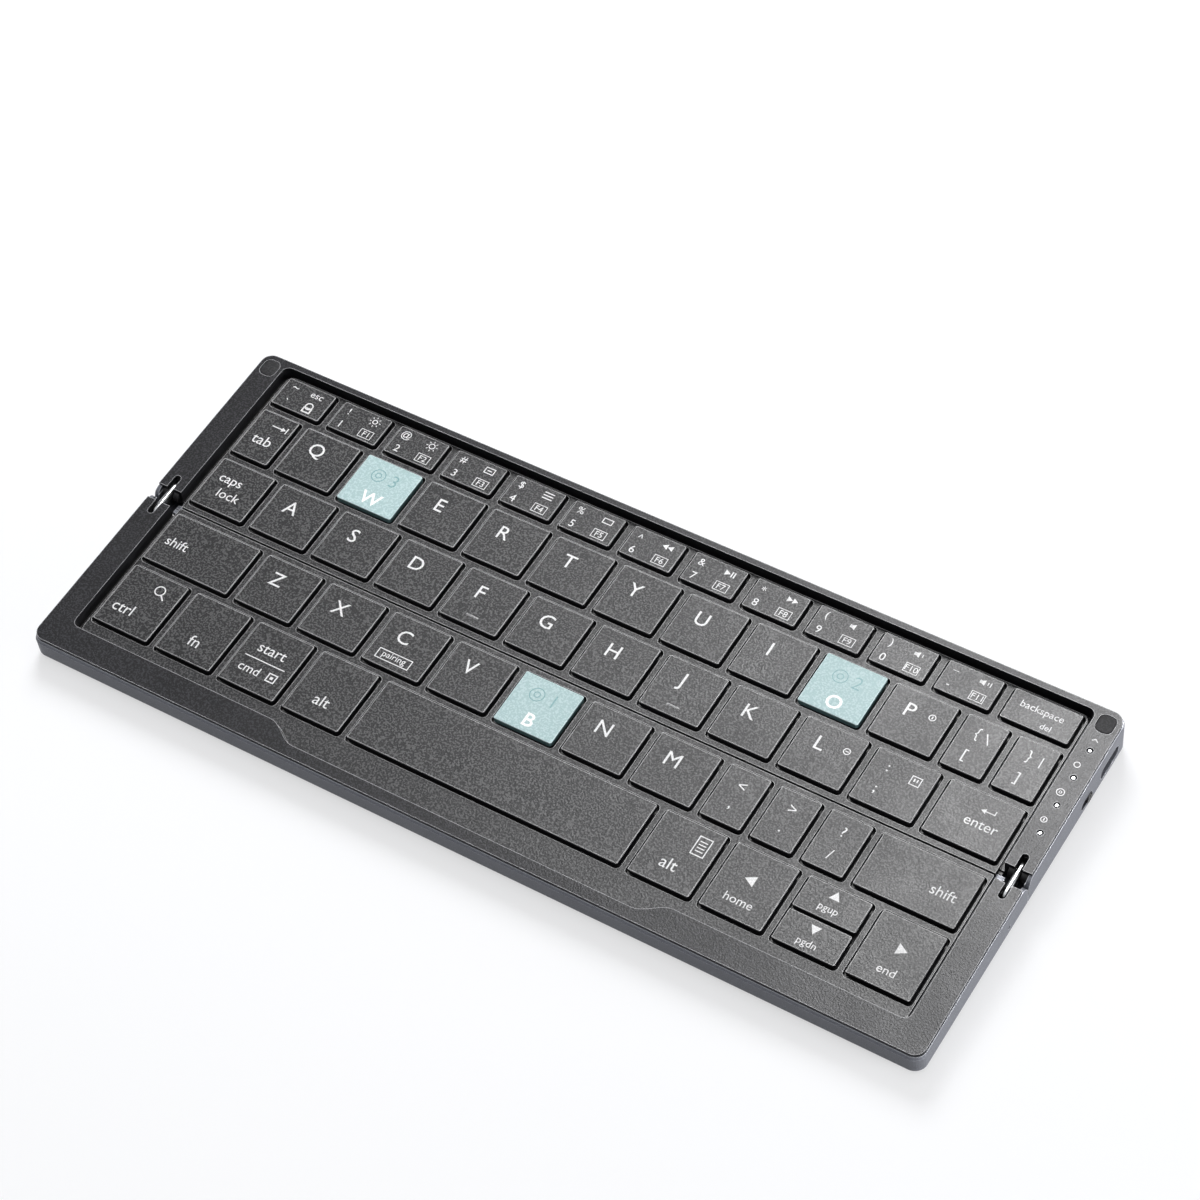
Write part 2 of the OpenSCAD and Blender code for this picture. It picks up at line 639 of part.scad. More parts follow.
// One bezel: plate, body, skirt and the wall round the keys
module bezel_body(s) {
  top_hw = half_w - plate_inset;
  top_hd = half_d - plate_inset;
  skirt_hw = outer_hw - wall_t - skirt_fit;
  skirt_hd = outer_hd - wall_t - skirt_fit;
  difference() {
    union() {
      translate([0, 0, -plate_t]) linear_extrude(plate_t) difference() {
        polygon(half_outline(top_hw, top_hd, rail_setback, corner_r - plate_inset));
        opening(s, 0, -overcut);
      }
      translate([0, 0, -bezel_t]) linear_extrude(bezel_t - plate_t) difference() {
        polygon(half_outline(skirt_hw, skirt_hd, rail_setback, corner_r - wall_t));
        opening(s, 0, -overcut);
      }
      translate([0, 0, -skirt_depth]) linear_extrude(skirt_depth - bezel_t) difference() {
        polygon(half_outline(skirt_hw, skirt_hd, block_end + block_gap, corner_r - wall_t));
        polygon(half_outline(skirt_hw - skirt_t, skirt_hd - skirt_t, -overcut, corner_r - wall_t));
        opening(s, skirt_t / 2, -overcut);
      }
      translate([0, 0, flange_top]) linear_extrude(-flange_top - bezel_t) intersection() {
        difference() {
          opening(s, skirt_t, rail_setback);
          opening(s, 0, -overcut);
        }
        polygon(half_outline(inner_x - skirt_fit, inner_y - skirt_fit, rail_setback, corner_r - wall_t));
      }
      on_both_sides() translate([screw_corner[0], screw_corner[1], -boss_split])
        cylinder(r = boss_r, h = boss_split - plate_t);
    }
    // Slots for the links, with round ends that clear the links' corners
    on_both_sides() {
      block(link_x0, link_x1, -overcut, slot_y, -bezel_t - overcut, overcut);
      translate([rail_mid, slot_y, -bezel_t - overcut]) cylinder(r = slot_r, h = bezel_t + 2 * overcut);
      translate([screw_corner[0], screw_corner[1], -boss_split - overcut])
        cylinder(r = screw_r, h = overcut + screw_bite + screw_sink);
    }
    if (s > 0) {
      on_both_sides() slab(pad_points(0.15), -pad_recess, overcut);
      for (i = [0:3]) translate([rail_mid, light_y(i), -bezel_t - overcut])
        cylinder(r = light_hole_r, h = bezel_t + 2 * overcut);
    }
  }
}

// The windows stand between the first one and the hinge block
light_pitch = (half_d - light_start - block_end - light_room) / 3;
function light_y(i) = half_d - light_start - i * light_pitch;

function pad_points(grow) = let (y = half_d - pad_inset) round_rect(
  rail_mid - pad_w / 2 - grow, rail_mid + pad_w / 2 + grow,
  y - pad_d / 2 - grow, y + pad_d / 2 + grow, 1.5 + grow);

module rear_bezel() {
  color(charcoal) on_deck() bezel_body(1);
}

module front_bezel() {
  color(charcoal) on_deck() half(-1) bezel_body(-1);
}

// Window outlines round the keys
module windows(rects) {
  for (k = rects)
    polygon(round_rect(k[0] - window_gap, k[1] + window_gap, k[2] - window_gap, k[3] + window_gap, window_r));
}

module web_outline(s, hw, hd, y0) {
  if (s > 0) polygon(half_outline(hw, hd, y0, opening_r));
  else polygon(front_outline(hw, y0, hd, relief_depth, opening_r));
}

// Lattice that frames the keys, with a flange that the bezel sits on
module key_web(s) {
  rects = s > 0 ? rear_rects : front_windows;
  edge = s > 0 ? web_rear : open_front - front_moat;
  flange_edge = (s > 0 ? open_rear : open_front) + skirt_t - layer_gap;
  translate([0, 0, flange_top]) linear_extrude(web_top - flange_top) difference() {
    web_outline(s, web_hw, edge, fold_gap);
    windows(rects);
  }
  translate([0, 0, web_bottom]) linear_extrude(flange_t) difference() {
    union() {
      web_outline(s, open_hw + skirt_t - layer_gap, flange_edge, rail_setback);
      web_outline(s, web_hw, edge, fold_gap);
    }
    windows(rects);
  }
}

module rear_key_web() {
  color(charcoal) on_deck() key_web(1);
}

module front_key_web() {
  color(charcoal) on_deck() half(-1) key_web(-1);
}

// Places of the spring cups: three under a long key, else one
function cups(k) = let (y = (k[2] + k[3]) / 2, x = (k[0] + k[1]) / 2, far = (k[1] - k[0]) / 2 - 6)
  k[1] - k[0] > 40 ? [[x - far, y], [x, y], [x + far, y]] : [[x, y]];

plunger_foot_z = web_bottom + key_travel + cup_gap;
cup_top_z = cap_top_z - cap_top_t - key_travel - cup_gap;

module cup(p) {
  inner = plunger_r + cup_clear;
  translate([p[0], p[1], web_bottom]) rotate_extrude() polygon([
    [inner, -sheet_t / 2], [inner + cup_wall + cup_spread, -sheet_t / 2],
    [inner + cup_wall + cup_spread, 0], [inner + cup_wall, cup_top_z - web_bottom],
    [inner, cup_top_z - web_bottom]]);
}

// Silicone sheet with a spring cup under each key
module dome_sheet(s) {
  rects = s > 0 ? rear_rects : front_rects;
  end = (s > 0 ? web_rear : open_front - front_moat) - layer_gap;
  block(-layer_hw, layer_hw, fold_gap / 2 + wall_t + layer_gap, end, backing_top, web_bottom);
  for (k = rects) for (p = cups(k)) cup(p);
}

module rear_dome_sheet() {
  color([0.8, 0.8, 0.78]) on_deck() dome_sheet(1);
}

module front_dome_sheet() {
  color([0.8, 0.8, 0.78]) on_deck() half(-1) dome_sheet(-1);
}

// Stamped plate under the sheet
module backing_plate(s) {
  end = (s > 0 ? web_rear : open_front - front_moat) - layer_gap;
  slab(round_rect(-layer_hw, layer_hw, fold_gap / 2 + wall_t + layer_gap, end, 1), backing_bottom, backing_top);
}

module rear_backing_plate() {
  color([0.7, 0.7, 0.7]) on_deck() backing_plate(1);
}

module front_backing_plate() {
  color([0.7, 0.7, 0.7]) on_deck() half(-1) backing_plate(-1);
}

// Side view of a cap: sloping sides and a chamfered top edge
function cap_profile(a, b) = [
  [a - cap_draft, cap_foot_z], [b + cap_draft, cap_foot_z],
  [b, cap_top_z - cap_chamfer], [b - cap_chamfer, cap_top_z],
  [a + cap_chamfer, cap_top_z], [a, cap_top_z - cap_chamfer]];

module keycap(k) {
  reach = 200;
  difference() {
    intersection() {
      translate([0, reach / 2, 0]) rotate([90, 0, 0]) linear_extrude(reach) polygon(cap_profile(k[0], k[1]));
      rotate([90, 0, 90]) translate([0, 0, -reach]) linear_extrude(2 * reach) polygon(cap_profile(k[2], k[3]));
      slab(round_rect(k[0] - cap_draft, k[1] + cap_draft, k[2] - cap_draft, k[3] + cap_draft, cap_corner, 3),
        cap_foot_z, cap_top_z);
    }
    block(k[0] + cap_side_t, k[1] - cap_side_t, k[2] + cap_side_t, k[3] - cap_side_t,
      cap_foot_z - overcut, cap_top_z - cap_top_t);
  }
  for (p = cups(k)) translate([p[0], p[1], plunger_foot_z])
    cylinder(r = plunger_r, h = cap_top_z - cap_top_t / 2 - plunger_foot_z);
}

// Raised bar that an index finger feels
module homing_bar(k) {
  x = (k[0] + k[1]) / 2;
  y = k[2] + key_d / 6;
  block(x - homing_len / 2, x + homing_len / 2, y - homing_h, y + homing_h, cap_top_z - cap_top_t / 2,
    cap_top_z + homing_h);
}

module rear_key(k, tint = key_grey) {
  color(tint) on_deck() keycap(k);
}

module front_key(k, tint = key_grey) {
  color(tint) on_deck() half(-1) keycap(k);
}

module home_key(i) {
  rear_key(home_rects[i]);
  if (is_in(home_names[i], homing_keys)) color(key_grey) on_deck() homing_bar(home_rects[i]);
}

module number_row_keys() {
  for (k = number_rects) rear_key(k);
}

module tab_caps_keys() {
  for (k = left_edge_rects) rear_key(k);
}

module bracket_keys() {
  for (k = bracket_rects) rear_key(k);
}

module key_enter() {
  rear_key(enter_rect);
}

module shift_keys() {
  for (k = shift_rects) front_key(k);
}

module punctuation_keys() {
  for (k = narrow_rects) front_key(k);
}

module left_modifier_keys() {
  for (k = modifier_rects) front_key(k);
}

module key_space() {
  front_key(space_rect);
}

module arrow_keys() {
  for (k = arrow_rects) front_key(k);
}

// Clevis block that carries a hinge pin on both sides of the link
module hinge_block() {
  difference() {
    union() {
      block(block_x0, block_x1, pivot_y, block_end, block_bottom, -bezel_t);
      across((block_x0 + block_x1) / 2, pivot_y, pivot_z, nose_r, block_x1 - block_x0);
    }
    block(link_x0, link_x1, 0, link_pocket_end, -mid_thickness, overcut);
    across(rail_mid, pivot_y, pivot_z, pin_r + pin_fit, 4 * cheek_t + link_t);
    translate([screw_block[0], screw_block[1], block_bottom - overcut])
      cylinder(r = screw_r, h = 2 * overcut + screw_bite);
  }
}

module rear_hinge_blocks() {
  color([0.45, 0.45, 0.47]) on_deck() on_both_sides() hinge_block();
}

module front_hinge_blocks() {
  color([0.45, 0.45, 0.47]) on_deck() half(-1) on_both_sides() hinge_block();
}

// Flat link on edge, with the pin of each pivot pressed into it
module link(side) {
  color([0.85, 0.85, 0.87]) on_deck() mirror([side < 0 ? 1 : 0, 0, 0]) {
    difference() {
      union() {
        block(rail_mid - link_t / 2, rail_mid + link_t / 2, -pivot_y, pivot_y, pivot_z - link_r, pivot_z + link_r);
        for (e = [-1, 1]) across(rail_mid, e * pivot_y, pivot_z, link_r, link_t);
      }
      for (e = [-1, 1]) across(rail_mid, e * pivot_y, pivot_z, pin_r, 2 * link_t);
    }
    for (e = [-1, 1]) across(rail_mid, e * pivot_y, pivot_z, pin_r, pin_len);
  }
}

module left_link() {
  link(-1);
}

module right_link() {
  link(1);
}

// Screws that stand square to the deck
module screws(s, bites) {
  places = [screw_corner, screw_block];
  for (i = [0:1]) {
    p = places[i];
    head_z = underside_at(s, p[1]) + screw_head_h + screw_sink;
    translate([p[0], p[1], head_z]) difference() {
      union() {
        translate([0, 0, -screw_head_h]) cylinder(r = screw_head_r, h = screw_head_h);
        cylinder(r = screw_r, h = bites[i] - head_z);
      }
      for (a = [0, 90]) rotate([0, 0, a]) block(-0.8, 0.8, -0.15, 0.15, -2 * screw_head_h, -screw_head_h / 2);
    }
  }
}

screw_ends = [-boss_split + screw_bite, block_bottom + screw_bite];

module rear_case_screws() {
  color([0.3, 0.3, 0.32]) on_deck() on_both_sides() screws(1, screw_ends);
}

module front_case_screws() {
  color([0.3, 0.3, 0.32]) on_deck() half(-1) on_both_sides() screws(-1, screw_ends);
}

module foot(y) {
  r = foot_w / 2;
  x1 = half_w - foot_side;
  translate([0, deck_y, 0]) on_both_sides() {
    block(x1 - foot_len + r, x1 - r, y - r, y + r, 0, foot_h);
    for (x = [x1 - foot_len + r, x1 - r]) translate([x, y, 0]) cylinder(r = r, h = foot_h);
  }
}

module rear_feet() {
  color([0.12, 0.12, 0.12]) foot(half_d - foot_edge);
}

module front_feet() {
  color([0.12, 0.12, 0.12]) foot(-half_d + foot_edge);
}

module corner_pads() {
  color([0.18, 0.18, 0.19]) on_deck() on_both_sides() slab(pad_points(0), -pad_recess, pad_proud);
}

// Clear bar under the right rail, with four tips that show in the deck
module indicator_light_bar() {
  bar_t = 0.6;
  bar_w = 1.8;
  bar_end = 1.2;
  color([0.95, 0.97, 1]) on_deck() {
    block(rail_mid - bar_w / 2, rail_mid + bar_w / 2, light_y(3) - bar_end, light_y(0) + bar_end,
      -bezel_t - bar_t, -bezel_t);
    for (i = [0:3]) translate([rail_mid, light_y(i), -bezel_t - bar_t / 2])
      cylinder(r = light_tip_r, h = bezel_t + bar_t / 2 - 0.05);
  }
}

// Metal socket shell with its tongue, open to the right
module usb_c_socket() {
  x1 = wall_in - layer_gap;
  back_t = 1;
  color([0.75, 0.75, 0.77]) on_deck() {
    difference() {
      slot_bar(socket_x0, x1, socket_y, socket_z, socket_w, socket_h);
      slot_bar(socket_x0 + back_t, x1 + overcut, socket_y, socket_z, socket_w - 2 * socket_t, socket_h - 2 * socket_t);
    }
    block(socket_x0 + back_t / 2, x1 - back_t, socket_y - tongue_w / 2, socket_y + tongue_w / 2,
      socket_z - tongue_t / 2, socket_z + tongue_t / 2);
  }
}

// Chip on the board, placed from the board's inner front corner
module chip(x, y, w, d, h) {
  block(board_x0 + x, board_x0 + x + w, board_y0 + y, board_y0 + y + d, board_top - board_t / 2, board_top + h);
}

// Board under the socket, with its chips and the slide switch
module controller_board() {
  switch_x = board_x1 - 1.2;
  reach = slider_travel + slider_len / 2;
  color([0.1, 0.35, 0.2]) on_deck() {
    difference() {
      block(board_x0, board_x1, board_y0, board_y1, board_bottom, board_top);
      translate([board_x0 + 3, board_y0 + 3, board_bottom - overcut]) cylinder(r = 0.6, h = board_t + 2 * overcut);
    }
    chip(8, 5, 7, 7, 1);
    chip(18, 9, 4, 4, 0.8);
    chip(2, 6, 2.5, 10, 1.2);
    // Body of the slide switch, with the track that the slider's tongue runs in
    difference() {
      block(switch_x - 4, switch_x, slider_y - reach - 1.5, slider_y + slider_len / 2 + 1.5,
        board_top - board_t / 2, slider_z + slider_h / 2);
      block(switch_x - 2, switch_x + overcut, slider_y - reach, slider_y + slider_len / 2,
        slider_z - slider_h / 2, slider_z + slider_h);
    }
  }
}

module battery_cell() {
  x0 = (rib_xs[1] + rib_xs[2] - cell_len) / 2;
  y0 = home_y + cell_back;
  color([0.75, 0.75, 0.72]) on_deck() at_underside(1, floor_t) {
    slab(round_rect(x0, x0 + cell_len, y0, y0 + cell_d, 1), 0, cell_t);
    // Protection strip along the front edge
    block(x0 + 4, x0 + cell_len - 4, y0 - 2.5, y0 + 0.5, 0, cell_t / 2);
  }
}

// Knob of the power switch, with its flange and the tongue that drives the switch
module power_slider() {
  x1 = outer_hw + slider_proud;
  flange_x = inner_x - layer_gap;
  color([0.08, 0.08, 0.08]) on_deck() {
    difference() {
      slot_bar(flange_x - slider_flange_t, x1, slider_y, slider_z, slider_len, slider_h);
      for (i = [-1:1]) block(x1 - slider_proud / 2, x1 + overcut, slider_y + i * 0.7 - 0.15, slider_y + i * 0.7 + 0.15,
        slider_z - slider_h, slider_z + slider_h);
    }
    block(flange_x - slider_flange_t, flange_x, slider_y - slider_len / 2 - 2 * slider_gap,
      slider_y + slider_len / 2 + 2 * slider_gap, slider_z - slider_h / 2, slider_z + slider_h / 2 + 2 * slider_gap);
    block(board_x1 - 2.6, flange_x - slider_flange_t / 2, slider_y - 0.8, slider_y + 0.8, slider_z - 0.5, slider_z + 0.5);
  }
}

rear_lower_shell();
rear_bezel();
rear_key_web();
rear_dome_sheet();
rear_backing_plate();
battery_cell();
controller_board();
usb_c_socket();
indicator_light_bar();
corner_pads();
rear_feet();
rear_hinge_blocks();
rear_case_screws();
power_slider();
left_link();
right_link();
front_lower_shell();
front_bezel();
front_key_web();
front_dome_sheet();
front_backing_plate();
front_feet();
front_hinge_blocks();
front_case_screws();
number_row_keys();
tab_caps_keys();
for (i = [0:9]) rear_key(upper_rects[i], tint(upper_names[i]));
bracket_keys();
for (i = [0:9]) home_key(i);
key_enter();
shift_keys();
for (i = [0:6]) front_key(lower_rects[i], tint(lower_names[i]));
punctuation_keys();
left_modifier_keys();
key_space();
arrow_keys();
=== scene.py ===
# %% [markdown]
# # A folding keyboard, from solids to a finished look
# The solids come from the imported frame: two metal trays, dark bezels, sunken webs, key caps, links
# and all that is inside. This lesson keeps their shapes and adds what solids lack: the camera and
# the light, a material for every surface, the printed key marks, and a few pieces whose edges are
# softer than the solids show, such as the links, the rubber feet and the battery pouch.

# %% Load the part
from math import cos, radians, sin
import bpy
from mathutils import Matrix, Vector


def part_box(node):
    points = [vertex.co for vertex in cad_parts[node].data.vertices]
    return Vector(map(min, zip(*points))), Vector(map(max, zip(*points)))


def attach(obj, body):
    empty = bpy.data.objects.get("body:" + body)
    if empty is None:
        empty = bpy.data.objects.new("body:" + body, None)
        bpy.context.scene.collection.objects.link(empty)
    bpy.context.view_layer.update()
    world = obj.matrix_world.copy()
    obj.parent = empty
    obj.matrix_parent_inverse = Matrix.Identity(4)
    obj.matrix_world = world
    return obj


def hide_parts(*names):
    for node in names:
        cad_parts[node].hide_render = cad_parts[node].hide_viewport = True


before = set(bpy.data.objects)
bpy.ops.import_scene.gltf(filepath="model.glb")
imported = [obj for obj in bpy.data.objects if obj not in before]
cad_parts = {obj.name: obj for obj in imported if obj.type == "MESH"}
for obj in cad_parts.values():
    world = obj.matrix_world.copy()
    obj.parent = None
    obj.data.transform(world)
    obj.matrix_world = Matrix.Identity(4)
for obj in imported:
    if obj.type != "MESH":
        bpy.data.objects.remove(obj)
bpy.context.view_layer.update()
for packed in bpy.data.materials:
    packed.name = "packed_" + packed.name

# %% [markdown]
# ## The deck's own frame
# The keyboard lies open on a table, and its deck slopes two degrees to the front. Every key, slot and
# window is square to the deck, not to the table. So places are written in the deck's frame, in
# millimetres: x to the right, y to the rear from the fold, z up from the bezel's face. One matrix
# takes them to the table's frame in metres. The other way is to turn each object, but then every
# number would hide the slope.

# %% From deck to table
MM = 0.001
CAP_TOP = -1.6
DECK = (Matrix.Translation((0, -0.2036 * MM, 9.59458 * MM)) @ Matrix.Rotation(radians(2), 4, "X")
        @ Matrix.Scale(MM, 4))


def deck_box(node):
    """Lowest and highest corner of a CAD node in the deck's frame, in millimetres."""
    back = DECK.inverted()
    corners = [back @ v.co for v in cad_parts[node].data.vertices]
    return (Vector(min(c[i] for c in corners) for i in range(3)),
            Vector(max(c[i] for c in corners) for i in range(3)))


print("case", [round(v, 1) for v in deck_box("rear_lower_shell")[1]])

# %% [markdown]
# ## Camera
# The photograph looks down on the right front corner through a long lens, a little rolled. A camera
# can be aimed by hand until the picture fits, but here the view was measured from the corners of the
# case, and it is written as the three directions that a camera has: right, up and back.

# %% Camera
def lens_directions(azimuth, elevation, roll):
    a, e, r = radians(azimuth), radians(elevation), radians(roll)
    back = Vector((sin(a) * cos(e), -cos(a) * cos(e), sin(e)))
    level = (-back).cross(Vector((0, 0, 1))).normalized()
    down = (-back).cross(level)
    return cos(r) * level + sin(r) * down, sin(r) * level - cos(r) * down, back


right, up, back = lens_directions(37.028, 52.920, 7.374)
eye = back * 3.254 * 246 + Vector((-0.0173 * 246, 0.0935 * 246, 0))
camera = bpy.data.objects.new("camera", bpy.data.cameras.new("camera"))
bpy.context.scene.collection.objects.link(camera)
bpy.context.scene.camera = camera
aim = Matrix((right, up, back)).transposed().to_4x4()
camera.matrix_world = Matrix.Translation(DECK @ eye) @ DECK.to_3x3().normalized().to_4x4() @ aim
camera.data.sensor_width = 36
camera.data.lens = 36 * 3289 / 1200
camera.data.clip_start, camera.data.clip_end = 0.05, 20
print("lens", round(camera.data.lens, 1), "mm at", round(camera.location.length, 2), "m")

# %% [markdown]
# ## Material tools
# Four effects come back in many finishes: the fine grain of a moulded or blasted surface, the thin
# light line on the edges, a painted highlight that is partly wear, the uneven smear that hands leave,
# and a painted shade that darkens the steep sides as if they stood in shadow. Each is a node group,
# built once, with its own sizes as inputs. A group only puts out masks and heights. The shader stays
# in each material, where its plain numbers can be read at a glance.

# %% Node helpers
def new_group(name, inputs, outputs):
    group = bpy.data.node_groups.new(name, "ShaderNodeTree")
    for label, kind, value in inputs:
        socket = group.interface.new_socket(name=label, in_out="INPUT", socket_type=kind)
        if value is not None:
            socket.default_value = value
    for label in outputs:
        group.interface.new_socket(name=label, in_out="OUTPUT", socket_type="NodeSocketFloat")
    return group, group.nodes.new("NodeGroupInput"), group.nodes.new("NodeGroupOutput")


def place(tree, kind, **values):
    """Adds a node. Values named after a property set it, and the others set an input."""
    node = tree.nodes.new(kind)
    for key, value in values.items():
        if hasattr(node, key):
            setattr(node, key, value)
        else:
            node.inputs[key.replace("_", " ")].default_value = value
    return node


def ramp(tree, low, high):
    """A colour ramp from black to white between two positions."""
    node = tree.nodes.new("ShaderNodeValToRGB")
    node.color_ramp.elements[0].position, node.color_ramp.elements[1].position = low, high
    return node


# %% Grain, painted edge highlights, smears and painted shade
VECTOR, FLOAT = "NodeSocketVector", "NodeSocketFloat"

grain, g_in, g_out = new_group("fine_grain", [("Vector", VECTOR, None), ("Grains per metre", FLOAT, 3000)],
                               ["Height", "Speckle"])
coarse = place(grain, "ShaderNodeTexNoise", Detail=1.0, Roughness=0.5)
cells = place(grain, "ShaderNodeTexVoronoi", feature="F1")
mixed = place(grain, "ShaderNodeMath", operation="MULTIPLY_ADD")
mixed.inputs[1].default_value = -0.5
speckle = ramp(grain, 0.49, 0.58)
for texture in (coarse, cells):
    grain.links.new(g_in.outputs["Vector"], texture.inputs["Vector"])
    grain.links.new(g_in.outputs["Grains per metre"], texture.inputs["Scale"])
grain.links.new(cells.outputs["Distance"], mixed.inputs[0])
grain.links.new(coarse.outputs["Fac"], mixed.inputs[2])
grain.links.new(mixed.outputs[0], g_out.inputs["Height"])
grain.links.new(coarse.outputs["Fac"], speckle.inputs["Fac"])
grain.links.new(speckle.outputs["Color"], g_out.inputs["Speckle"])

# The edge mask paints a thin light line on every edge: a painted highlight, partly wear.
edges, e_in, e_out = new_group("edge_highlight_and_wear", [("Radius", FLOAT, 0.0002)], ["Edge"])
rounded = place(edges, "ShaderNodeBevel", samples=6)
flat = place(edges, "ShaderNodeNewGeometry")
same = place(edges, "ShaderNodeVectorMath", operation="DOT_PRODUCT")
bent = place(edges, "ShaderNodeMapRange", From_Min=0.992, From_Max=0.95, To_Min=0.0, To_Max=1.0)
edges.links.new(e_in.outputs["Radius"], rounded.inputs["Radius"])
edges.links.new(rounded.outputs["Normal"], same.inputs[0])
edges.links.new(flat.outputs["Normal"], same.inputs[1])
edges.links.new(same.outputs["Value"], bent.inputs["Value"])
edges.links.new(bent.outputs["Result"], e_out.inputs["Edge"])

smears, s_in, s_out = new_group("hand_smear", [("Vector", VECTOR, None), ("Smears per metre", FLOAT, 40)],
                                ["Smear"])
cloud = place(smears, "ShaderNodeTexNoise", Detail=5.0, Roughness=0.6, Distortion=0.4)
patch = ramp(smears, 0.35, 0.7)
smears.links.new(s_in.outputs["Vector"], cloud.inputs["Vector"])
smears.links.new(s_in.outputs["Smears per metre"], cloud.inputs["Scale"])
smears.links.new(cloud.outputs["Fac"], patch.inputs["Fac"])
smears.links.new(patch.outputs["Color"], s_out.inputs["Smear"])

# This mask marks the steep sides for a painted shade that darkens them as if they stood in shadow.
flank_shade_group, f_in, f_out = new_group("painted_flank_shade", [("Normal", VECTOR, None)], ["Flank"])
upright = place(flank_shade_group, "ShaderNodeSeparateXYZ")
steep = place(flank_shade_group, "ShaderNodeMapRange", From_Min=0.75, From_Max=0.45, To_Min=0.0, To_Max=1.0)
flank_shade_group.links.new(f_in.outputs["Normal"], upright.inputs[0])
flank_shade_group.links.new(upright.outputs["Z"], steep.inputs["Value"])
flank_shade_group.links.new(steep.outputs["Result"], f_out.inputs["Flank"])
print("groups:", [g.name for g in bpy.data.node_groups])

# %% [markdown]
# ## One recipe for hard surfaces
# Caps, bezels, trays and castings differ in colour, grain and gloss, yet all are built alike: a base
# colour that the speckle varies, a lighter tone on the edges that paints a highlight and partly wear,
# on some a painted shade on the steep sides, a roughness that the smears vary, and a bump from the
# grain. So one function lays out these nodes, and each finish gives its own values.

# %% Surface recipe
def finish(name, dark, light, edge, shade_tone=None, rough=(0.5, 0.65), grains=3000, bump=0.15,
           depth=0.00003, radius=0.00018, smears_per_metre=40, **shader):
    """A material from two grain tones, an edge tone that paints a highlight and partly wear, a tone of painted shade
    for steep sides, a range of roughness and a grain.
    """
    material = bpy.data.materials.new(name)
    material.use_nodes = True
    tree = material.node_tree
    principled = tree.nodes["Principled BSDF"]
    for key, value in shader.items():
        principled.inputs[key.replace("_", " ")].default_value = value
    where = place(tree, "ShaderNodeTexCoord")
    grain_node, edge_highlight_node, smear_node = (place(tree, "ShaderNodeGroup", node_tree=g)
                                         for g in (grain, edges, smears))
    grain_node.inputs["Grains per metre"].default_value = grains
    edge_highlight_node.inputs["Radius"].default_value = radius
    smear_node.inputs["Smears per metre"].default_value = smears_per_metre
    tones = place(tree, "ShaderNodeMix", data_type="RGBA")
    tones.inputs[6].default_value, tones.inputs[7].default_value = (*dark, 1), (*light, 1)
    # Mixes in the edge tone, a painted highlight that is partly wear.
    highlight_and_wear = place(tree, "ShaderNodeMix", data_type="RGBA")
    highlight_and_wear.inputs[7].default_value = (*edge, 1)
    gloss = place(tree, "ShaderNodeMapRange", To_Min=rough[0], To_Max=rough[1])
    relief = place(tree, "ShaderNodeBump", Strength=bump, Distance=depth)
    link = tree.links.new
    for node in (grain_node, smear_node):
        link(where.outputs["Object"], node.inputs["Vector"])
    link(grain_node.outputs["Speckle"], tones.inputs[0])
    link(tones.outputs[2], highlight_and_wear.inputs[6])
    link(edge_highlight_node.outputs["Edge"], highlight_and_wear.inputs[0])
    last = highlight_and_wear
    # Mixes in the painted shade on steep sides, darker as if in shadow.
    if shade_tone:
        flank_shade_node = place(tree, "ShaderNodeGroup", node_tree=flank_shade_group)
        last = place(tree, "ShaderNodeMix", data_type="RGBA")
        last.inputs[7].default_value = (*shade_tone, 1)
        link(where.outputs["Normal"], flank_shade_node.inputs["Normal"])
        link(flank_shade_node.outputs["Flank"], last.inputs[0])
        link(highlight_and_wear.outputs[2], last.inputs[6])
    link(last.outputs[2], principled.inputs["Base Color"])
    link(smear_node.outputs["Smear"], gloss.inputs["Value"])
    link(gloss.outputs["Result"], principled.inputs["Roughness"])
    link(grain_node.outputs["Height"], relief.inputs["Height"])
    link(relief.outputs["Normal"], principled.inputs["Normal"])
    return material


def wear(node, material):
    """Gives a CAD node its material, in all of its slots."""
    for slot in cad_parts[node].material_slots:
        slot.material = material


# %% [markdown]
# ## Finishes of the outside
# The caps, webs and bezels are one dark charcoal plastic, eroded to a fine sparkling grain. Three
# caps are pale cyan. The trays are blue-grey metal with a satin bead finish. The links are polished.

# %% Plastics and metals outside
# Painted shade for the steep sides of caps, webs and bezels. The cyan caps' last tone is painted shade too, and each
# edge tone is a painted highlight, partly wear.
PAINTED_SHADE = (0.005, 0.005, 0.006)
key_grey = finish("key_grey", (0.001, 0.001, 0.002), (0.060, 0.060, 0.062), (0.70, 0.70, 0.71), PAINTED_SHADE,
                  rough=(0.38, 0.46), grains=2000, bump=0.7, depth=0.00007, radius=0.00030,
                  Specular_IOR_Level=0.25)
key_cyan = finish("key_cyan", (0.37, 0.52, 0.53), (0.49, 0.63, 0.64), (0.70, 0.82, 0.83), (0.10, 0.17, 0.18),
                  rough=(0.5, 0.6), grains=2000, bump=0.5, depth=0.00006, radius=0.0002,
                  Specular_IOR_Level=0.2)
web_plastic = finish("web_plastic", (0.001, 0.001, 0.002), (0.052, 0.052, 0.054), (0.55, 0.55, 0.56), PAINTED_SHADE,
                     rough=(0.40, 0.48), grains=2000, bump=0.7, depth=0.00007, radius=0.00026,
                     Specular_IOR_Level=0.25)
bezel_plastic = finish("bezel_plastic", (0.001, 0.001, 0.002), (0.019, 0.019, 0.023), (0.42, 0.42, 0.44), PAINTED_SHADE,
                       rough=(0.36, 0.44), grains=2200, bump=0.7, depth=0.00006, radius=0.00030,
                       Specular_IOR_Level=0.20)
case_metal = finish("case_metal", (0.10, 0.105, 0.122), (0.14, 0.146, 0.168), (0.42, 0.43, 0.46),
                    rough=(0.48, 0.53), grains=4200, bump=0.12, radius=0.0003, Metallic=0.45)
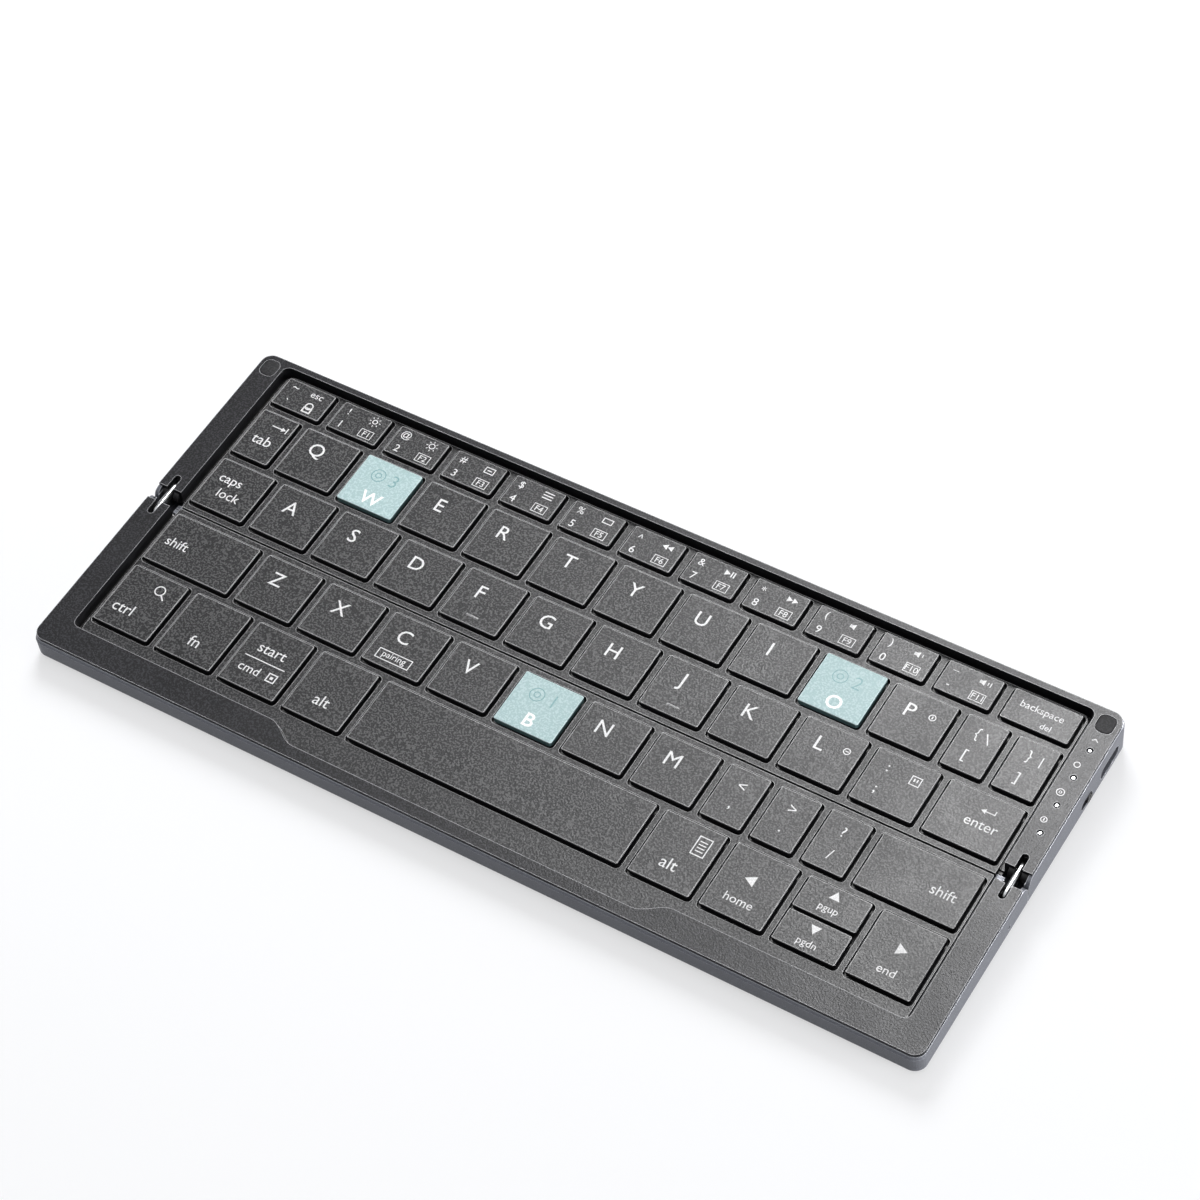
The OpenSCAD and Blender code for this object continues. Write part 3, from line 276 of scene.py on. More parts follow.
link_steel = finish("link_steel", (0.24, 0.245, 0.25), (0.30, 0.305, 0.31), (0.50, 0.505, 0.51),
                    rough=(0.16, 0.28), grains=900, bump=0.03, radius=0.00015, smears_per_metre=220,
                    Metallic=1.0)
hinge_cast = finish("hinge_cast", (0.012, 0.012, 0.013), (0.022, 0.022, 0.024), (0.04, 0.04, 0.042),
                    rough=(0.45, 0.6), grains=2600, bump=0.3, Metallic=0.3)
screw_steel = finish("screw_steel", (0.035, 0.035, 0.038), (0.06, 0.06, 0.064), (0.25, 0.25, 0.26),
                     rough=(0.3, 0.42), grains=4000, bump=0.08, radius=0.0001, Metallic=0.8)
slider_plastic = finish("slider_plastic", (0.016, 0.016, 0.017), (0.028, 0.028, 0.03), (0.07, 0.07, 0.075),
                        rough=(0.3, 0.4), grains=3000, bump=0.08, radius=0.0001)

# %% Rubber, steel, foil and board
pad_rubber = finish("pad_rubber", (0.010, 0.010, 0.011), (0.024, 0.024, 0.026), (0.014, 0.014, 0.015),
                    rough=(0.6, 0.75), grains=2500, bump=0.12, Specular_IOR_Level=0.15)
foot_rubber = finish("foot_rubber", (0.014, 0.014, 0.015), (0.026, 0.026, 0.028), (0.05, 0.05, 0.052),
                     rough=(0.7, 0.85), grains=1800, bump=0.4)
silicone = finish("silicone", (0.008, 0.008, 0.009), (0.014, 0.014, 0.015), (0.03, 0.03, 0.032),
                  rough=(0.5, 0.6), grains=1200, bump=0.08)
sheet_steel = finish("sheet_steel", (0.42, 0.42, 0.43), (0.52, 0.52, 0.53), (0.65, 0.65, 0.66),
                     rough=(0.28, 0.42), grains=1600, bump=0.08, Metallic=1.0)
battery_foil = finish("battery_foil", (0.50, 0.50, 0.49), (0.62, 0.62, 0.60), (0.7, 0.7, 0.68),
                      rough=(0.3, 0.45), grains=700, bump=0.25, depth=0.00008, Metallic=0.85)
circuit_board = finish("circuit_board", (0.012, 0.09, 0.045), (0.018, 0.13, 0.065), (0.30, 0.24, 0.10),
                       rough=(0.25, 0.35), grains=900, bump=0.2, radius=0.0001)
socket_steel = finish("socket_steel", (0.50, 0.50, 0.51), (0.60, 0.60, 0.61), (0.72, 0.72, 0.73),
                      rough=(0.22, 0.34), grains=2200, bump=0.06, radius=0.0001, Metallic=1.0)
contact_gold = finish("contact_gold", (0.72, 0.50, 0.17), (0.82, 0.60, 0.24), (0.9, 0.72, 0.36),
                      rough=(0.2, 0.3), grains=4000, bump=0.05, Metallic=1.0)
guide_clear = finish("guide_clear", (0.75, 0.77, 0.80), (0.85, 0.87, 0.9), (0.95, 0.96, 0.98),
                     rough=(0.15, 0.25), grains=1500, bump=0.05, Coat_Weight=0.3, Coat_Roughness=0.1)
print([m.name for m in bpy.data.materials if not m.name.startswith("packed_")])

# %% [markdown]
# ## Which node wears which finish
# A CAD node keeps its mesh and only gets a material. The keys are many, so they are found by the
# word key in their names, and the rest are listed.

# %% Dress the nodes
PALE = ("key_w", "key_o", "key_b")
KEYS = [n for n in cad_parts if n.startswith("key_") or n.endswith("_keys")]
DRESS = (
    (case_metal, ["rear_lower_shell", "front_lower_shell"]),
    (bezel_plastic, ["rear_bezel", "front_bezel"]),
    (web_plastic, ["rear_key_web", "front_key_web"]),
    (silicone, ["rear_dome_sheet", "front_dome_sheet"]),
    (sheet_steel, ["rear_backing_plate", "front_backing_plate"]),
    (battery_foil, ["battery_cell"]),
    (circuit_board, ["controller_board"]),
    (socket_steel, ["usb_c_socket"]),
    (guide_clear, ["indicator_light_bar"]),
    (pad_rubber, ["corner_pads"]),
    (foot_rubber, ["rear_feet", "front_feet"]),
    (hinge_cast, ["rear_hinge_blocks", "front_hinge_blocks"]),
    (screw_steel, ["rear_case_screws", "front_case_screws"]),
    (slider_plastic, ["power_slider"]),
    (link_steel, ["left_link", "right_link"]),
)
for material, nodes in DRESS:
    for node in nodes:
        wear(node, material)
for node in KEYS:
    wear(node, key_cyan if node in PALE else key_grey)
print(len(KEYS), "key nodes,", sum(len(nodes) for _, nodes in DRESS), "others")

# %% [markdown]
# ## Modelling by operators
# A new piece is modelled as by hand: a primitive is put down at its size and place, its faces and
# edges are picked by where they are, and extrude, inset and bevel shape it. An operator acts on all
# that is selected, so each helper starts from an empty selection.

# %% Modelling helpers
def alone():
    bpy.ops.object.select_all(action="DESELECT")


def pick(obj, test, kind="VERT"):
    """Goes into edit mode with only those vertices, edges or faces selected that pass the test."""
    bpy.ops.object.mode_set(mode="OBJECT")
    mesh = obj.data
    for part in (mesh.vertices, mesh.edges, mesh.polygons):
        part.foreach_set("select", [False] * len(part))
    bpy.context.tool_settings.mesh_select_mode = (kind == "VERT", kind == "EDGE", kind == "FACE")
    if kind == "VERT":
        for v in mesh.vertices:
            v.select = test(v.co)
    elif kind == "FACE":
        for f in mesh.polygons:
            f.select = test(f.center, f.normal)
    else:
        for e in mesh.edges:
            e.select = test(*(mesh.vertices[i].co for i in e.vertices))
    bpy.ops.object.mode_set(mode="EDIT")


def joined(name, pieces):
    """Joins pieces into one object of that name."""
    alone()
    for piece in pieces:
        piece.select_set(True)
    bpy.context.view_layer.objects.active = pieces[0]
    if len(pieces) > 1:
        bpy.ops.object.join()
    whole = bpy.context.view_layer.objects.active
    whole.name = whole.data.name = name
    return whole


def settle(obj, place_matrix=None):
    """Puts the object's own place, and a further one, into its mesh."""
    bpy.context.view_layer.update()
    obj.data.transform((place_matrix or Matrix.Identity(4)) @ obj.matrix_world)
    obj.matrix_world = Matrix.Identity(4)
    return obj


def dress(obj, material, body, smooth=None):
    """Gives a finished piece its one material and the body that it rides on."""
    obj.data.materials.clear()
    obj.data.materials.append(material)
    if smooth:
        alone()
        obj.select_set(True)
        bpy.context.view_layer.objects.active = obj
        bpy.ops.object.shade_smooth_by_angle(angle=radians(smooth))
    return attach(obj, body)


# %% [markdown]
# ## Key marks
# The marks on the caps are printed in pale ink, a few hundredths of a millimetre thick. A picture
# mapped on the cap would be the usual way, but a part that others reuse is better off with real
# shapes: they stay sharp at any distance. Letters and words are text objects that are made a mesh.
# Signs are flat primitives that inset and delete turn into rings, frames and bars. All the marks of
# one key node are joined, given the ink's thickness, and ride on that key.

# %% Ink
ink_pale = finish("ink_pale", (0.62, 0.62, 0.63), (0.80, 0.80, 0.81), (0.8, 0.8, 0.81),
                  rough=(0.5, 0.6), grains=3500, bump=0.1, radius=0.00002)
ink_white = finish("ink_white", (0.92, 0.92, 0.92), (0.97, 0.97, 0.97), (0.97, 0.97, 0.97),
                   rough=(0.5, 0.6), grains=3500, bump=0.1, radius=0.00002)
ink_teal = finish("ink_teal", (0.15, 0.31, 0.33), (0.20, 0.38, 0.40), (0.20, 0.38, 0.40),
                  rough=(0.5, 0.6), grains=3500, bump=0.1, radius=0.00002)


# %% Letters and words
def words(text, x, y, size, thin=0.0):
    """Text with its middle at a place on the deck, in millimetres. Size is that of the type."""
    alone()
    bpy.ops.object.text_add(location=(0, 0, 0))
    obj = bpy.context.object
    obj.data.body = text
    obj.data.resolution_u = 3
    obj.data.offset = thin
    bpy.ops.object.convert(target="MESH")
    obj = bpy.context.object
    points = [v.co for v in obj.data.vertices]
    middle = [(min(p[i] for p in points) + max(p[i] for p in points)) / 2 for i in (0, 1)]
    return settle(obj, Matrix.Translation((x, y, 0)) @ Matrix.Scale(size, 4)
                  @ Matrix.Translation((-middle[0], -middle[1], 0)))


# %% Rings, frames, bars and arrows
def ring(x, y, radius, line, sides=20):
    alone()
    bpy.ops.mesh.primitive_circle_add(vertices=sides, radius=radius, fill_type="NGON", location=(x, y, 0))
    return hollowed(bpy.context.object, line)


def box_frame(x, y, width, height, line):
    alone()
    bpy.ops.mesh.primitive_plane_add(size=1, location=(x, y, 0))
    obj = bpy.context.object
    obj.scale = (width, height, 1)
    bpy.ops.object.transform_apply(location=False, rotation=False, scale=True)
    return hollowed(obj, line)


def hollowed(obj, line):
    """Leaves only a line's width of a flat face."""
    pick(obj, lambda c, n: True, "FACE")
    bpy.ops.mesh.inset(thickness=line)
    bpy.ops.mesh.delete(type="FACE")
    bpy.ops.object.mode_set(mode="OBJECT")
    return settle(obj)


def bar(x, y, width, height, turn=0):
    alone()
    bpy.ops.mesh.primitive_plane_add(size=1, location=(x, y, 0), rotation=(0, 0, radians(turn)))
    obj = bpy.context.object
    obj.scale = (width, height, 1)
    return settle(obj)


def arrow(x, y, size, turn):
    """A filled triangle that points to the right before it is turned."""
    alone()
    bpy.ops.mesh.primitive_circle_add(vertices=3, radius=size, fill_type="NGON", location=(x, y, 0),
                                      rotation=(0, 0, radians(turn - 90)))
    return settle(bpy.context.object)


print("mark tools ready")

# %% [markdown]
# ## Letter keys
# A letter sits up and to the left on its cap, where a second mark could share the cap. Its place is
# measured from the middle of the cap, which the node's own box gives. Three pale keys are different:
# their letter is low in the middle, in white, under a small ring and a channel number in teal.

# %% Marks of the letter keys
def middle(node):
    low, high = deck_box(node)
    return (low.x + high.x) / 2, (low.y + high.y) / 2


def print_marks(name, body, marks, ink, thickness=0.03, proud=0.012):
    """Joins flat marks, thickens them, lays them on the caps and lets them ride on their key."""
    whole = joined(name, marks)
    bpy.ops.object.shade_flat()
    solid = whole.modifiers.new("ink", "SOLIDIFY")
    solid.thickness, solid.offset = thickness, -1
    bpy.ops.object.modifier_apply(modifier="ink")
    settle(whole, DECK @ Matrix.Translation((0, 0, CAP_TOP + proud)))
    return dress(whole, ink, body)


LETTER, WORD, SMALL = 5.7, 4.5, 3.6
pieces = []
for node in KEYS:
    letter = node[4:].upper()
    if len(letter) != 1:
        continue
    x, y = middle(node)
    if node in PALE:
        number = {"W": "3", "O": "2", "B": "1"}[letter]
        pieces.append(print_marks(node + "_letter", node, [words(letter, x, y - 4.3, 5.4, 0.014)], ink_white))
        marks = [ring(x - 2.2, y + 2.9, 2.0, 0.26, 28), ring(x - 2.2, y + 2.9, 0.9, 0.26, 20),
                 words(number, x + 2.5, y + 2.9, 5.4, -0.008)]
        pieces.append(print_marks(node + "_channel", node, marks, ink_teal))
        continue
    marks = [words(letter, x - 1.9, y + 2.1, LETTER, 0.001)]
    if letter == "C":
        marks += [box_frame(x - 0.8, y - 4.5, 9.6, 3.0, 0.24), words("pairing", x - 0.8, y - 4.5, 2.5)]
    elif letter == "P":
        marks += [ring(x + 3.7, y + 2.5, 0.95, 0.25), bar(x + 3.7, y + 2.5, 0.3, 0.9)]
    elif letter == "L":
        marks += [ring(x + 4.7, y + 2.9, 0.95, 0.25), bar(x + 4.7, y + 2.9, 0.9, 0.25)]
    pieces.append(print_marks(node + "_marks", node, marks, ink_pale))
print(len(pieces), "sets of marks")

# %% [markdown]
# ## Number row
# Each cap of this row carries four small marks: the shifted sign over the figure at the left, and a
# function sign over its number at the right. They are small, so the type is small too and its curves
# stay coarse.

# %% Marks of the number row
x, y = -113.5 + 7.2, 43.48
marks = [words("~", x - 4.0, y + 2.4, 3.4), words("esc", x + 2.6, y + 2.2, 2.9),
         words("`", x - 4.0, y - 1.8, 3.6), ring(x + 2.6, y - 1.4, 1.2, 0.35), box_frame(x + 2.6, y - 2.7, 2.6, 1.8, 0.4)]
SIGNS = "!@#$%^&*()_"
FIGURES = "1234567890-"
for i in range(11):
    x = -113.5 + 7.2 + (i + 1) * 17.45
    marks += [words(SIGNS[i], x - 4.5, y + 2.2, 3.0), words(FIGURES[i], x - 4.5, y - 2.3, 3.2),
              words(f"F{i + 1}", x + 3.3, y - 2.3, 2.4), box_frame(x + 3.3, y - 2.3, 3.8, 2.7, 0.18)]
    sx, sy = x + 3.3, y + 2.2
    if i < 2:
        marks += [ring(sx, sy, 0.75 + 0.15 * i, 0.25)]
        marks += [bar(sx + 1.4 * cos(radians(a)), sy + 1.4 * sin(radians(a)), 0.5, 0.2, a) for a in range(0, 360, 45)]
    elif i == 2:
        marks += [box_frame(sx, sy, 2.8, 2.0, 0.25), bar(sx, sy, 1.3, 0.3)]
    elif i == 3:
        marks += [bar(sx, sy + d, 2.8, 0.3) for d in (-0.9, 0, 0.9)]
    elif i == 4:
        marks += [box_frame(sx, sy, 2.8, 1.7, 0.25)]
    elif i == 5:
        marks += [arrow(sx - 0.7, sy, 0.95, 180), arrow(sx + 0.8, sy, 0.95, 180)]
    elif i == 6:
        marks += [arrow(sx - 0.8, sy, 1.0, 0), bar(sx + 0.6, sy, 0.35, 1.7), bar(sx + 1.3, sy, 0.35, 1.7)]
    elif i == 7:
        marks += [arrow(sx - 0.8, sy, 0.95, 0), arrow(sx + 0.7, sy, 0.95, 0)]
    else:
        marks += [bar(sx - 1.2, sy, 0.6, 0.9), arrow(sx - 0.6, sy, 1.0, 180)]
        marks += [bar(sx + 0.7 + 0.7 * d, sy, 0.22, 0.9 + 0.5 * d) for d in range(i - 8)]
marks += [words("backspace", 104.4, y + 0.9, 2.8), words("del", 107.0, y - 2.6, 2.4)]
print_marks("number_row_marks", "number_row_keys", marks, ink_pale)

# %% [markdown]
# ## Word keys and signs
# The remaining caps carry words, brackets or arrows. Each node gets one joined piece of ink, like the
# others, because the caps of a node move together.

# %% Marks of the word keys
UPPER_Y, HOME_Y, LOWER_Y, BOTTOM_Y = 28.45, 10.2, -10.2, -29.95


def two(top, bottom, x, y, size=4.0):
    return [words(top, x, y + 3.3, size), words(bottom, x, y - 3.4, size)]


x = -108.05
marks = [words("tab", x - 0.2, UPPER_Y - 1.2, WORD), bar(x + 1.2, UPPER_Y + 4.0, 3.4, 0.3),
         arrow(x + 2.8, UPPER_Y + 4.0, 0.8, 0), bar(x + 3.9, UPPER_Y + 4.0, 0.3, 1.9),
         words("caps", -107.6, HOME_Y + 1.5, 3.9), words("lock", -105.4, HOME_Y - 2.2, 3.9)]
print_marks("tab_caps_marks", "tab_caps_keys", marks, ink_pale)

marks = two("{", "[", 93.9, UPPER_Y) + [bar(96.7, UPPER_Y + 3.0, 0.3, 3.2, 25)]
marks += two("}", "]", 107.4, UPPER_Y) + [bar(110.6, UPPER_Y + 3.0, 0.3, 3.2)]
print_marks("bracket_marks", "bracket_keys", marks, ink_pale)

x, y = middle("key_semicolon")
marks = two(":", ";", x - 3.6, y) + [box_frame(x + 3.8, y + 3.0, 2.7, 2.7, 0.25), bar(x + 3.4, y + 3.2, 0.3, 0.9),
                                     bar(x + 4.2, y + 3.2, 0.3, 0.9)]
print_marks("semicolon_marks", "key_semicolon", marks, ink_pale)

x, y = middle("key_enter")
marks = [words("enter", x + 2.2, y - 0.7, 3.9), bar(x + 2.6, y + 3.3, 2.6, 0.3), bar(x + 3.8, y + 3.8, 0.3, 1.2),
         arrow(x + 1.1, y + 3.3, 0.8, 180)]
print_marks("enter_marks", "key_enter", marks, ink_pale)

marks = [words("shift", -108.0, LOWER_Y - 0.4, 3.9), words("shift", 107.2, LOWER_Y - 0.4, 3.9)]
print_marks("shift_marks", "shift_keys", marks, ink_pale)
marks = two("<", ",", 52.6, LOWER_Y) + two(">", ".", 66.05, LOWER_Y) + two("?", "/", 79.5, LOWER_Y)
print_marks("punctuation_marks", "punctuation_keys", marks, ink_pale)

# %% Marks of the bottom row
y = BOTTOM_Y
marks = [words("ctrl", -108.4, y - 3.2, WORD), ring(-103.2, y + 5.2, 1.5, 0.32, 24),
         bar(-101.6, y + 3.6, 1.9, 0.4, -45), words("fn", -86.6, y - 3.4, WORD),
         words("start", -67.5, y + 2.8, 4.3), bar(-67.5, y - 0.5, 11.6, 0.28), words("cmd", -69.9, y - 3.7, 3.6),
         box_frame(-63.4, y - 3.7, 2.6, 2.6, 0.32), bar(-63.4, y - 3.7, 0.8, 0.8), words("alt", -48.7, y - 3.4, WORD)]
print_marks("left_modifier_marks", "left_modifier_keys", marks, ink_pale)

marks = [words("alt", 48.2, y - 3.4, WORD), box_frame(52.6, y + 4.0, 3.6, 5.4, 0.28)]
marks += [bar(52.6, y + 4.0 + d, 2.0, 0.28) for d in (-1.4, -0.5, 0.4, 1.3)]
marks += [arrow(67.2, y + 1.6, 1.75, 180), words("home", 67.2, y - 4.5, 3.3)]
marks += [arrow(86.2, -23.2, 1.55, 90), words("pgup", 86.2, -27.2, 2.7)]
marks += [arrow(86.2, -32.7, 1.55, -90), words("pgdn", 86.2, -37.1, 2.7)]
marks += [arrow(105.6, y + 1.6, 1.75, 0), words("end", 105.3, y - 4.6, 3.3)]
print_marks("arrow_marks", "arrow_keys", marks, ink_pale)
print("all caps are marked")

# %% [markdown]
# ## Signs on the right rail
# Beside the four light windows the bezel carries small printed rings that tell the lights apart. They
# are ink too, on the bezel's face instead of a cap.

# %% Rail signs
marks = [ring(118.5, 34.0, 0.85, 0.22), ring(118.5, 25.4, 1.05, 0.22, 24), ring(118.5, 25.4, 0.4, 0.16, 16),
         ring(118.5, 16.9, 0.85, 0.22), bar(118.5, 16.9, 0.3, 0.7), bar(118.9, 42.1, 1.1, 0.2, 35),
         bar(119.5, 42.1, 1.1, 0.2, -35)]
rail_signs = joined("rail_signs", marks)
solid = rail_signs.modifiers.new("ink", "SOLIDIFY")
solid.thickness, solid.offset = 0.03, -1
bpy.ops.object.modifier_apply(modifier="ink")
settle(rail_signs, DECK @ Matrix.Translation((0, 0, 0.012)))
dress(rail_signs, ink_pale, "rear_half")
print(rail_signs.name, len(rail_signs.data.polygons), "faces")

# %% [markdown]
# ## Links
# Each half hangs on two polished links, flat bars with round ends that carry the hinge pins. The
# solids have sharp edges, but tumbled steel has soft ones, and the soft edge is what glints in the
# picture. So the link is modelled again: a short cylinder is split at its middle, and its two halves
# are drawn apart to the two pivots. Then the rims are bevelled and the pins are added.

# %% Links
PIVOT_Y, PIVOT_Z = 3.6, -3.3


def pin(y):
    alone()
    bpy.ops.mesh.primitive_cylinder_add(vertices=32, radius=0.9, depth=4.2, location=(0, y, PIVOT_Z),
                                        rotation=(0, radians(90), 0))
    obj = settle(bpy.context.object)
    pick(obj, lambda c, n: abs(n.x) > 0.9, "FACE")
    bpy.ops.mesh.inset(thickness=0.18)
    bpy.ops.object.mode_set(mode="OBJECT")
    pick(obj, lambda a, b: abs(a.x) > 2 and abs(b.x) > 2 and abs(a.x - b.x) < 0.01
         and (Vector((a.y - y, a.z - PIVOT_Z)).length > 0.85), "EDGE")
    bpy.ops.mesh.bevel(offset=0.12, segments=3)
    bpy.ops.object.mode_set(mode="OBJECT")
    return obj


def link_piece(name, x):
    alone()
    bpy.ops.mesh.primitive_cylinder_add(vertices=66, radius=2.5, depth=1.5, location=(0, 0, PIVOT_Z),
                                        rotation=(0, radians(90), 0))
    plate = settle(bpy.context.object)
    for side in (-1, 1):
        pick(plate, lambda co: side * co.y > 0 and abs(co.y) < 2.6)
        bpy.ops.transform.translate(value=(0, side * (PIVOT_Y + 20), 0))
        bpy.ops.object.mode_set(mode="OBJECT")
    for side in (-1, 1):
        pick(plate, lambda co: side * co.y > 0)
        bpy.ops.transform.translate(value=(0, -side * 20, 0))
        bpy.ops.object.mode_set(mode="OBJECT")
    pick(plate, lambda a, b: abs(a.x - b.x) < 0.01, "EDGE")
    bpy.ops.mesh.bevel(offset=0.65, segments=6)
    bpy.ops.object.mode_set(mode="OBJECT")
    whole = joined(name, [plate, pin(-PIVOT_Y), pin(PIVOT_Y)])
    settle(whole, DECK @ Matrix.Translation((x, 0, 0)))
    return whole


for side, node in ((-1, "left_link"), (1, "right_link")):
    link = link_piece(node + "_polished", side * 119.375)
    dress(link, link_steel, node, smooth=35)
    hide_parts(node)
    print(link.name, [round(v * 1000, 1) for v in link.dimensions])

# %% [markdown]
# ## Corner pads and feet
# Two soft pads keep the decks apart when the keyboard is shut, and four strips of rubber stand under
# it. Both are moulded, with round corners in plan and a softly rounded top. A box with bevelled
# corners, an inset face that is raised a little and a last small bevel gives that form.

# %% Soft pads
def on_corner(co, x, y, width, length, corner, soft):
    """Whether a point lies on the outer line of a rectangle's rounded corner."""
    dx, dy = abs(co.x - x) - (width / 2 - corner), abs(co.y - y) - (length / 2 - corner)
    return dx > 0 and dy > 0 and Vector((dx, dy)).length > corner - soft / 2


def cushion(x, y, z0, z1, width, length, corner, soft, dome):
    """A moulded pad from z0 to z1. Its far face is z1, up or down, with a low dome."""
    alone()
    bpy.ops.mesh.primitive_cube_add(size=1, location=(x, y, (z0 + z1) / 2))
    obj = bpy.context.object
    up = 1 if z1 > z0 else -1
    obj.scale = (width, length, abs(z1 - z0))
    settle(obj)
    pick(obj, lambda a, b: abs(a.z - b.z) > 0.1, "EDGE")
    bpy.ops.mesh.bevel(offset=corner, segments=6)
    bpy.ops.object.mode_set(mode="OBJECT")
    pick(obj, lambda c, n: n.z * up > 0.9, "FACE")
    bpy.ops.mesh.inset(thickness=soft)
    bpy.ops.object.mode_set(mode="OBJECT")
    top = max(z0 * up, z1 * up)
    reach = (width / 2 - soft / 2, length / 2 - soft / 2)
    pick(obj, lambda c: c.z * up > top - 0.001 and (abs(c.x - x) > reach[0] or abs(c.y - y) > reach[1]
                                                    or on_corner(c, x, y, width, length, corner, soft)))
    bpy.ops.transform.translate(value=(0, 0, -up * soft * 0.6))
    bpy.ops.object.mode_set(mode="OBJECT")
    pick(obj, lambda c, n: n.z * up > 0.99 and c.z * up > top - 0.001, "FACE")
    bpy.ops.mesh.inset(thickness=soft * 1.4)
    bpy.ops.transform.translate(value=(0, 0, up * dome))
    bpy.ops.object.mode_set(mode="OBJECT")
    return obj


low, high = deck_box("corner_pads")
pad_y, pad_w, pad_l = (low.y + high.y) / 2, 4.2, high.y - low.y
pads = joined("corner_pads_soft", [cushion(side * (high.x - pad_w / 2), pad_y, low.z, high.z - 0.02, pad_w, pad_l,
                                           1.5, 0.12, 0.02) for side in (-1, 1)])
settle(pads, DECK)
dress(pads, pad_rubber, "rear_half", smooth=40)
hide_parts("corner_pads")

for half in ("rear", "front"):
    low, high = (v * 1000 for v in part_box(half + "_feet"))
    length, width = 50, high.y - low.y
    feet = joined(half + "_feet_moulded", [cushion(side * (high.x - length / 2), (low.y + high.y) / 2, high.z, low.z + 0.05,
                                                   length, width, 1.8, 0.25, 0.05) for side in (-1, 1)])
    settle(feet, Matrix.Scale(MM, 4))
    dress(feet, foot_rubber, half + "_half", smooth=40)
    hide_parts(half + "_feet")
    print(feet.name, [round(v * 1000, 2) for v in feet.dimensions])

# %% [markdown]
# ## Battery pouch
# The cell is a foil pouch. Its body is a flat pillow with soft edges, and the foil is sealed into a
# thin flap at the end where the protection strip sits. It is out of sight in use, but it shows when
# the part is opened, so it gets the form of a pouch and a strip of amber tape.

# %% Pouch
tape_amber = finish("tape_amber", (0.50, 0.27, 0.04), (0.60, 0.34, 0.06), (0.7, 0.45, 0.12),
                    rough=(0.2, 0.3), grains=600, bump=0.05, Coat_Weight=0.4, Coat_Roughness=0.15)
low, high = (v * 1000 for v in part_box("battery_cell"))
alone()
bpy.ops.mesh.primitive_cube_add(size=1, location=((low.x + high.x) / 2, (low.y + 2.5 + high.y) / 2, (low.z + high.z) / 2))
pouch = bpy.context.object
pouch.scale = (high.x - low.x, high.y - low.y - 2.5, high.z - low.z)
settle(pouch)
pick(pouch, lambda a, b: abs(a.z - b.z) > 0.1, "EDGE")
bpy.ops.mesh.bevel(offset=1.6, segments=5)
bpy.ops.object.mode_set(mode="OBJECT")
pick(pouch, lambda a, b: abs(a.z - b.z) < 0.01, "EDGE")
bpy.ops.mesh.bevel(offset=0.55, segments=4)
bpy.ops.object.mode_set(mode="OBJECT")
alone()
bpy.ops.mesh.primitive_cube_add(size=1, location=((low.x + high.x) / 2, low.y + 1.6, low.z + 0.6))
flap = bpy.context.object
flap.scale = (high.x - low.x - 8, 3.0, 0.9)
settle(flap)
pick(flap, lambda c, n: n.z > 0.9, "FACE")
bpy.ops.mesh.inset(thickness=0.3)
bpy.ops.transform.translate(value=(0, 0, 0.1))
bpy.ops.object.mode_set(mode="OBJECT")
cell = joined("battery_pouch", [pouch, flap])
settle(cell, Matrix.Scale(MM, 4))
dress(cell, battery_foil, "rear_half", smooth=40)
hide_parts("battery_cell")

# %% Tape over the seal
alone()
bpy.ops.mesh.primitive_cube_add(size=1, location=((low.x + high.x) / 2, low.y + 4.4, high.z + 0.02))
tape = bpy.context.object
tape.scale = (high.x - low.x - 12, 3.4, 0.06)
settle(tape)
pick(tape, lambda a, b: abs(a.z - b.z) > 0.01, "EDGE")
bpy.ops.mesh.bevel(offset=0.3, segments=3)
bpy.ops.object.mode_set(mode="OBJECT")
settle(tape, Matrix.Scale(MM, 4))
tape.name = "battery_tape"
dress(tape, tape_amber, "rear_half")
print("pouch", [round(v * 1000, 1) for v in cell.dimensions])

# %% [markdown]
# ## Socket contacts
# Inside the charging port a tongue carries two rows of gilt contacts. They are tiny, but a look into
# the port is empty without them. One contact is modelled as a thin bar with a bevelled tip, and its
# copies each get a mesh of their own.

# %% Contacts
low, high = deck_box("usb_c_socket")
port_y, port_z = (low.y + high.y) / 2, (low.z + high.z) / 2
alone()
bpy.ops.mesh.primitive_cube_add(size=1, location=(high.x - 3.4, port_y, port_z + 0.35))
contact = bpy.context.object
contact.scale = (3.2, 0.26, 0.05)
settle(contact)
pick(contact, lambda a, b: a.x > high.x - 2 and b.x > high.x - 2 and min(a.z, b.z) > port_z + 0.36, "EDGE")
bpy.ops.mesh.bevel(offset=0.02, segments=2)
bpy.ops.object.mode_set(mode="OBJECT")
rows = []
for face in (1, -1):
    for i in range(12):
        copy = contact.copy()
        copy.data = contact.data.copy()
        bpy.context.scene.collection.objects.link(copy)
        for v in copy.data.vertices:
            v.co.y += (i - 5.5) * 0.5
            v.co.z = port_z + face * (v.co.z - port_z)
        if face < 0:
            copy.data.flip_normals()
        rows.append(copy)
bpy.data.objects.remove(contact)
contacts = joined("socket_contacts", rows)
settle(contacts, DECK)
dress(contacts, contact_gold, "rear_half")
print("contacts:", len(rows))

# %% [markdown]
# ## Floor and light
# The keyboard stands on a white sweep under soft, even light, with a faint cool shadow round it and
# a sheen that grows to the right. The floor is a pale surface that adds a little light of its own to
# what the camera and reflections see. That makes it white and keeps the shadow. A broad sun overhead
# gives the level. A soft lamp behind the left end throws the shadows of the caps to the front and
# right, and a weaker one lights the right wall. A card that only gloss can see gives the sheen, and
# the world fills the rest.

